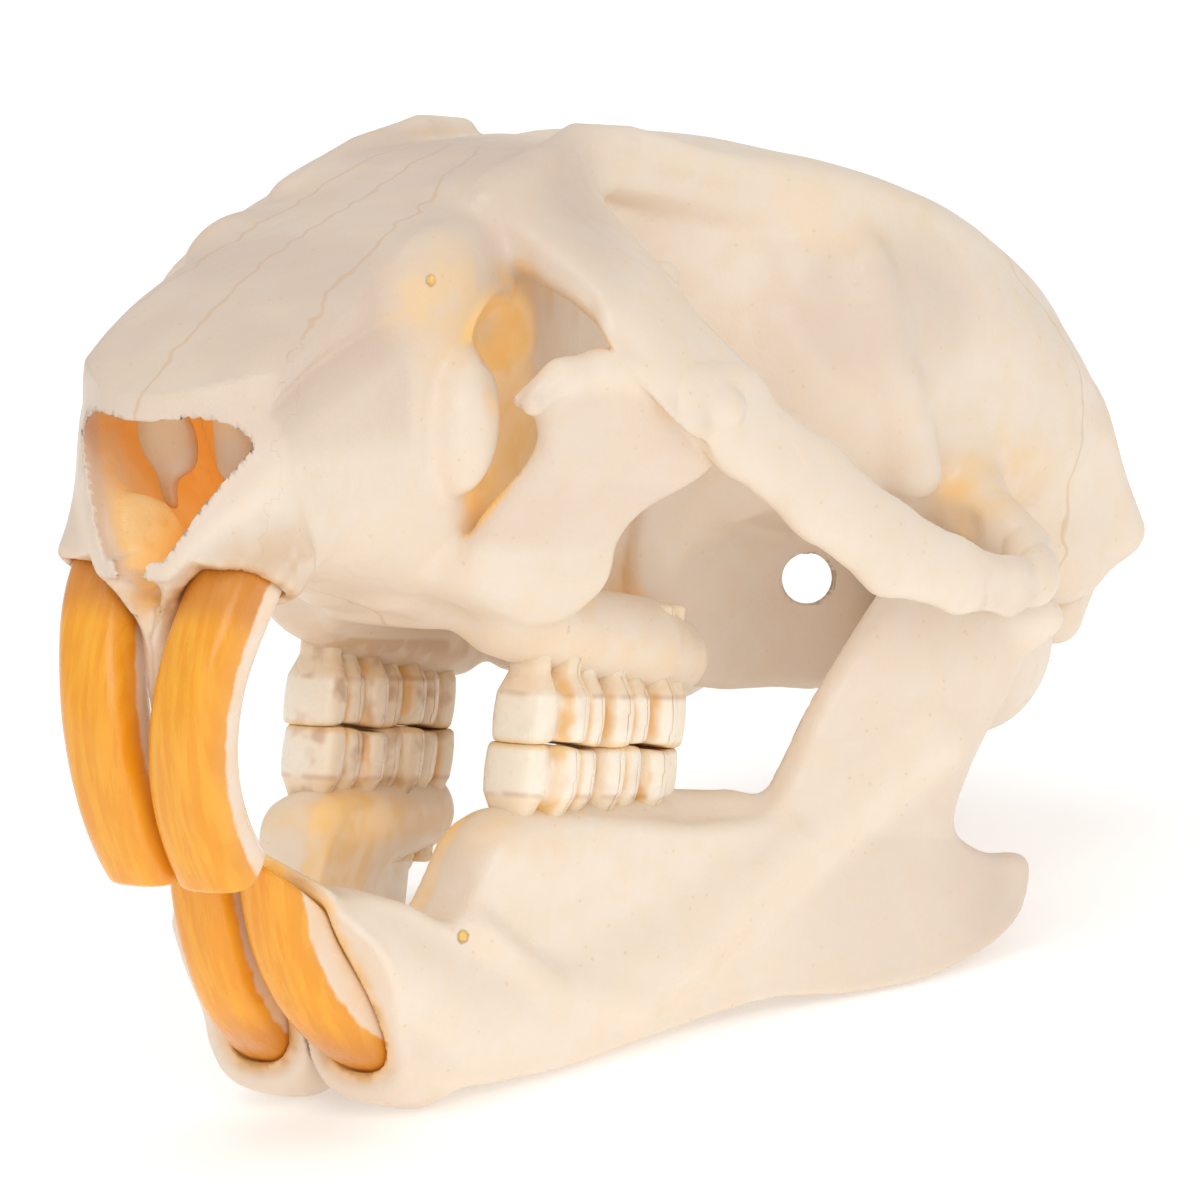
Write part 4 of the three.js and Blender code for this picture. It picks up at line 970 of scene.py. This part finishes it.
tree.links.new(bump.outputs[0], shader.inputs["Normal"])


def molar_facts(points, side, crown_end, hand):
    up = side * (points[:, 2] - crown_end)
    y = points[:, 1] - 0.08 * up * side
    gaps = [(a + b) / 2 for a, b in zip(MOLAR_LOBES, MOLAR_LOBES[1:])]
    offs = np.array([y - gap for gap in gaps])
    near = offs[np.abs(offs).argmin(0), np.arange(len(y))]
    return {"up": up, "gap": near, "far_side": np.full(len(y), float(hand == "right"))}


for row, field, low, high, owners in (
    ("upper", upper_molars, (1.6, 10.5, -0.4), (4.6, 17.8, 3.6), ("cranium", "cranium")),
    ("lower", lower_molars, (1.6, 10.5, -3.8), (4.6, 17.8, 0), ("mandible_left", "mandible_right")),
):
    grown_row = grown(field, low, high, MESH_STEP * 0.6, relief=0.01)
    for hand, bit in (("left", grown_row), ("right", mirrored(*grown_row))):
        sign, end = (1, UPPER_CROWN_END) if row == "upper" else (-1, LOWER_CROWN_END)
        facts = molar_facts(grown_row[0], sign, end, hand)
        obj = piece(f"molars_{row}_{hand}", *bit, facts, molar_material)
        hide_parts(owners[hand == "right"])

# The jugal bones: a flat splint in the middle of each cheek arch, held by a slanting joint at
# each end.
grown_jugal = grown(cheek_splint, (6, 12, 2.4), (11, 23, 9.5), MESH_STEP)
for hand, bit in (("left", grown_jugal), ("right", mirrored(*grown_jugal))):
    obj = piece(f"cheek_splint_{hand}", *bit, bone_facts(cheek_splint, *grown_jugal[:2]), bone_material)
    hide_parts(f"jugal_{hand}")

# The ear capsules: thin-walled egg-shaped bubbles of bone under the back of the braincase, each
# grown to the bone round it.
grown_bulla = grown(bulla, (1.4, 24, -0.3), (7.4, 32, 5.8), MESH_STEP)
for hand, bit in (("left", grown_bulla), ("right", mirrored(*grown_bulla))):
    obj = piece(f"ear_capsule_{hand}", *bit, bone_facts(bulla, *grown_bulla[:2]), bone_material)
    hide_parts(f"bulla_{hand}")

# The incisors: long curved teeth that grow all life long, orange enamel in front and white
# dentine behind, worn to a chisel edge.
LOWER_ARC = ((9.6, -2.2), 5.9, 4.1)
lower_incisor = incisor(
    *LOWER_ARC, 1.66, -1.5, 0.05,
    curve((-1.5, 1.55), (-0.7, 1.05), (0, 0.95)),
    lambda x, y, z: ((z + 2.84) + 0.35 * (x - 0.6) + 0.45 * (y - 3.6)) * 0.87,
)
ENAMEL_ORANGE = (0.86, 0.345, 0.014)
ENAMEL_PALE = (0.92, 0.425, 0.03)
ENAMEL_DEEP = (0.62, 0.22, 0.035)
DENTINE = (0.88, 0.71, 0.56)
incisor_material = new_material("incisor_enamel")
tree = incisor_material.node_tree
shader = tree.nodes["Principled BSDF"]
spot = fact(tree, "spot", "Vector")
fleck = fact(tree, "fleck")
grain = use(tree, grain_group, {"Spot": spot, "Fleck": fleck})
across = reckon(tree, "MULTIPLY", fact(tree, "across"), 4.5)
along = reckon(tree, "MULTIPLY", fact(tree, "along"), 0.45)
apart = reckon(tree, "MULTIPLY", fact(tree, "hand"), 7.0)
streaky = node(tree, "ShaderNodeCombineXYZ", {0: across, 1: along, 2: apart})
streak = fade(tree, noise(tree, streaky.outputs[0], 1.0, 2), 0.34, 0.68)
colour = blend(tree, streak, ENAMEL_ORANGE, ENAMEL_PALE)
colour = blend(tree, reckon(tree, "MULTIPLY", fleck, 0.08), colour, ENAMEL_DEEP)
colour = blend(tree, reckon(tree, "MULTIPLY", fact(tree, "base"), 0.7), colour, ENAMEL_DEEP)
edge = reckon(tree, "MULTIPLY_ADD", noise(tree, spot, 0.5, 2), 0.3, fact(tree, "face"))
colour = blend(tree, fade(tree, edge, 0.02, -0.14), colour, DENTINE)
patches = fade(tree, noise(tree, spot, 1.1, 2), 0.4, 0.65)
yellowing = reckon(tree, "MULTIPLY", patches, fade(tree, edge, 0.02, -0.14, 0.0, 0.3))
colour = blend(tree, yellowing, colour, AMBER)
tree.links.new(colour, shader.inputs["Base Color"])
tree.links.new(fade(tree, streak, 0, 1, 0.22, 0.36), shader.inputs["Roughness"])
shader.inputs["Subsurface Weight"].default_value = 0.2
shader.inputs["Subsurface Radius"].default_value = (1, 0.45, 0.15)
shader.inputs["Subsurface Scale"].default_value = 0.0005
shader.inputs["Coat Weight"].default_value = 0.15
shader.inputs["Coat Roughness"].default_value = 0.12
height = reckon(tree, "MULTIPLY", streak, 0.006)
height = reckon(tree, "MULTIPLY_ADD", grain["Grain"], 0.004, height)
bump = node(tree, "ShaderNodeBump", {"Strength": 1.0, "Distance": 1 / MILLIMETRES, "Height": height})
tree.links.new(bump.outputs[0], shader.inputs["Normal"])


def incisor_facts(points, centre, outer, inner, bare, gum, hand):
    y, z = points[:, 1] - centre[0], points[:, 2] - centre[1]
    r = np.hypot(y, z)
    angle = np.arctan2(z, -y)
    face = (r - (outer + inner) / 2) / ((outer - inner) / 2)
    base = soft_step(gum(points), 0.9, 0.0) * soft_step(face, -0.6, 0.2)
    side = np.full(len(y), float(hand == "right"))
    return {"face": face - bare, "across": points[:, 0], "along": angle * outer, "base": base, "hand": side}


def upper_gum(points):
    return 3.0 - 0.35 * points[:, 1] - points[:, 2]


def lower_gum(points):
    return 0.9 * (points[:, 2] + 7.6)


UPPER_BARE = 0.25
LOWER_BARE = 0.55
for row, field, low, high, arc, gum in (
    ("upper", upper_incisor, (-0.3, -0.8, -4.4), (3, 4.4, 7.2), (*UPPER_ARC, UPPER_BARE), upper_gum),
    ("lower", lower_incisor, (-0.3, 3.6, -8.8), (3, 10.6, -1.6), (*LOWER_ARC, LOWER_BARE), lower_gum),
):
    grown_tooth = grown(field, low, high, MESH_STEP * 0.6, relief=0.0)
    for hand, bit in (("left", grown_tooth), ("right", mirrored(*grown_tooth))):
        facts = incisor_facts(grown_tooth[0], *arc, gum, hand)
        obj = piece(f"{row}_incisor_{hand}", *bit, facts, incisor_material)
        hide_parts(f"incisor_{row}_{hand}")

# The lower jaw: two halves that meet at the chin, each a thick body round the incisor root and a
# thin branch behind it with three processes.
jaw_x = curve((6, 1.3), (9, 2.0), (12, 2.8), (15, 3.8), (18, 5.2), (20, 6.3), (22.5, 7.6), (25.4, 8.5))
jaw_half = curve((6, 0.9), (10, 0.95), (14, 0.85), (17, 0.6), (20, 0.36), (26, 0.3))
jaw_branch = sheet(
    outline(
        (5.6, -5.2), (6.2, -4.0), (7.6, -3.9), (9.3, -4.3), (10.5, -2.6), (12, -2.0), (16.8, -1.9),
        (18.3, -1.6), (19.6, 1.15), (20.9, 3.6), (21.8, 4.9), (22.5, 4.5), (23.2, 3.6), (24.4, 3.65),
        (25.5, 3.4), (24.7, 1.8), (23.4, -0.5), (23.1, -1.8), (24.0, -2.35), (25.3, -2.45), (24.9, -3.8),
        (22.4, -5.2), (20.2, -5.8), (18.5, -6.0), (15.8, -6.9), (12.4, -7.8), (9.8, -8.1), (7.8, -7.4),
    ),
    lambda y, z: jaw_x(y) + 0.2 * np.maximum(-2 - z, 0) * np.clip((y - 17) / 5, 0, 1),
    jaw_half,
)
jaw_root = rod(
    (1.45, 6.4, -5.2, 1.5), (2.1, 10, -6.6, 1.45), (3.0, 13, -6.3, 1.2), (4.2, 16, -5.0, 1.05),
    (5.9, 19.5, -2.2, 0.7), (7.45, 22.4, 0.2, 0.6),
)
jaw_socket = rod(
    (2.6, 11.2, -2.7, 1.0), (3.0, 14, -2.5, 1.05), (3.4, 16.8, -2.2, 1.0), (4.4, 18.2, -1.95, 0.8)
)
jaw_head = blob((8.35, 25.2, 3.3), (0.65, 1.0, 0.6), -0.4)
jaw_ridge = rod(
    (3.2, 10.0, -4.5, 0.28), (3.65, 12.1, -5.8, 0.32), (4.45, 14.9, -6.15, 0.34), (4.95, 16.4, -5.0, 0.34),
    (6.05, 18.9, -2.2, 0.26),
    soft=0.4,
)
jaw_rim = curve((-8.4, 7.9), (-7.4, 7.7), (-5.4, 6.5), (-4.3, 5.5), (-3.4, 4.9))


def jaw(x, y, z):
    bone = join(jaw_branch(x, y, z), jaw_root(x, y, z), 0.6)
    bone = join(bone, jaw_socket(x, y, z), 0.7)
    bone = join(bone, jaw_head(x, y, z), 0.5)
    bone = join(bone, jaw_ridge(x, y, z), 0.5)
    front = jaw_rim(z) - y
    tooth = lower_incisor(x, y, z)
    sleeve = SOCKET_COLLAR + 0.25 * np.clip(-6.5 - z, 0, 1)
    bone = join(bone, trim(tooth - sleeve, y - 10.5, 0.3), 0.4)
    bone = trim(bone, front * 0.8, 0.2)
    return trim(np.maximum(bone, JOINT_GAP / 2 - x), JOINT_GAP - tooth, 0.1)


jaw_material = bone_look("jaw_bone", (0.87, 0.745, 0.61))
MENTAL_FORAMEN = (3.07, 9.37, -4.66)


def jaw_facts(points, normals):
    facts = bone_facts(jaw, points, normals)
    x, y, z = points.T
    socket = soft_step(lower_incisor(x, y, z), 0.6, 0.06) * (y < 9)
    root = soft_step(blob((4.4, 20.0, 0.6), (3.2, 1.2, 1.3), 0.9)(x, y, z), 0.4, -0.4)
    gums = soft_step(np.abs(z + 2.3), 0.9, 0.1) * soft_step(jaw_socket(x, y, z), 0.4, 0.0)
    inside = soft_step(jaw_x(y) - x, 0.1, 0.5) * soft_step(y, 15, 12) * soft_step(z, -7.5, -5.5)
    facts["amber"] = np.clip(facts["amber"] + 0.5 * socket + 0.4 * root + 0.3 * gums + 0.4 * inside, 0, 1)
    facts["stain"] = np.clip(socket**2 * 0.85 * soft_step(z, -5.0, -7.5), 0, 1)
    wing = soft_step(y, 21.5, 24.5) * soft_step(z, -0.5, -2.5)
    facts["thin"] = np.clip(facts["thin"] * 0.5 + 0.45 * wing, 0, 1)
    facts["hole"] = np.linalg.norm(points - MENTAL_FORAMEN, axis=1)
    return facts


grown_jaw = grown(jaw, (-0.2, 4, -9), (10.4, 27, 5.8), MESH_STEP)
for hand, bit in (("left", grown_jaw), ("right", mirrored(*grown_jaw))):
    obj = piece(f"jaw_half_{hand}", *bit, jaw_facts(*grown_jaw[:2]), jaw_material)
    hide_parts(f"mandible_{hand}")

# The camera stands in front of the skull's left cheek, a little above it, with a long lens. Its
# place and turn were fitted to the photograph, and its frame is 1200 pixels wide.
CAMERA_AT = (163.712631, -238.791914, 10.6483041)
CAMERA_TURN = 0.565383246
CAMERA_RISE = 0.0247368397
CAMERA_ROLL = 0.0614513296
FOCAL_PIXELS = 12756.5
FRAME_PIXELS = 1200
SENSOR = 36
back = np.array([
    math.sin(CAMERA_TURN) * math.cos(CAMERA_RISE),
    -math.cos(CAMERA_TURN) * math.cos(CAMERA_RISE),
    math.sin(CAMERA_RISE),
])
level = np.cross(-back, [0, 0, 1])
level /= np.linalg.norm(level)
upright = np.cross(level, -back)
right = level * math.cos(CAMERA_ROLL) + upright * math.sin(CAMERA_ROLL)
up = upright * math.cos(CAMERA_ROLL) - level * math.sin(CAMERA_ROLL)
columns = np.stack([turned(right), turned(up), turned(back)], 1)
camera_data = bpy.data.cameras.new("camera")
camera_data.lens = FOCAL_PIXELS / FRAME_PIXELS * SENSOR
camera_data.sensor_width = SENSOR
camera_data.clip_start = 0.01
camera_data.clip_end = 20
camera = bpy.data.objects.new("camera", camera_data)
pose = np.eye(4)
pose[:3, :3] = columns
pose[:3, 3] = laid_down(np.array(CAMERA_AT))
camera.matrix_world = Matrix(pose.tolist())
bpy.context.scene.collection.objects.link(camera)
bpy.context.scene.camera = camera

# A plain white floor and soft studio light: a wide panel overhead and one at the right. The floor
# glows a little, so that it stays white far from the panels.
FLOOR_HALF = 3.0
floor_mesh = bpy.data.meshes.new("floor")
corners = [(a * FLOOR_HALF, b * FLOOR_HALF, 0) for a, b in ((-1, -1), (1, -1), (1, 1), (-1, 1))]
floor_mesh.from_pydata(corners, [], [(0, 1, 2, 3)])
floor_material = new_material("floor_white")
paint = floor_material.node_tree.nodes["Principled BSDF"].inputs
paint["Base Color"].default_value = (0.93, 0.93, 0.93, 1)
paint["Roughness"].default_value = 0.9
paint["Emission Color"].default_value = (1, 1, 1, 1)
paint["Emission Strength"].default_value = 0.3
floor_mesh.materials.append(floor_material)
floor = bpy.data.objects.new("floor", floor_mesh)
bpy.context.scene.collection.objects.link(floor)

world = bpy.data.worlds.new("studio")
bpy.context.scene.world = world
world.use_nodes = True
world.node_tree.nodes["Background"].inputs["Color"].default_value = (1, 1, 1, 1)
STUDIO_LEVEL = 0.62
in_view = node(world.node_tree, "ShaderNodeLightPath").outputs["Is Camera Ray"]
level = reckon(world.node_tree, "MAXIMUM", in_view, STUDIO_LEVEL)
world.node_tree.links.new(level, world.node_tree.nodes["Background"].inputs["Strength"])


def panel(name, at, size, power):
    data = bpy.data.lights.new(name, "AREA")
    data.shape = "SQUARE"
    data.size = size
    data.energy = power
    light = bpy.data.objects.new(name, data)
    light.location = at
    aim = np.array([0, 0, 0.01]) - np.array(at)
    aim = aim / np.linalg.norm(aim)
    light.rotation_euler = (math.acos(-aim[2]), 0, math.atan2(-aim[0], aim[1]))
    bpy.context.scene.collection.objects.link(light)


panel("panel_overhead", (-0.05, -0.1, 0.5), 0.35, 0.6)
panel("panel_right", (0.42, -0.35, 0.28), 0.35, 0.9)
bpy.context.scene.view_settings.view_transform = "Standard"
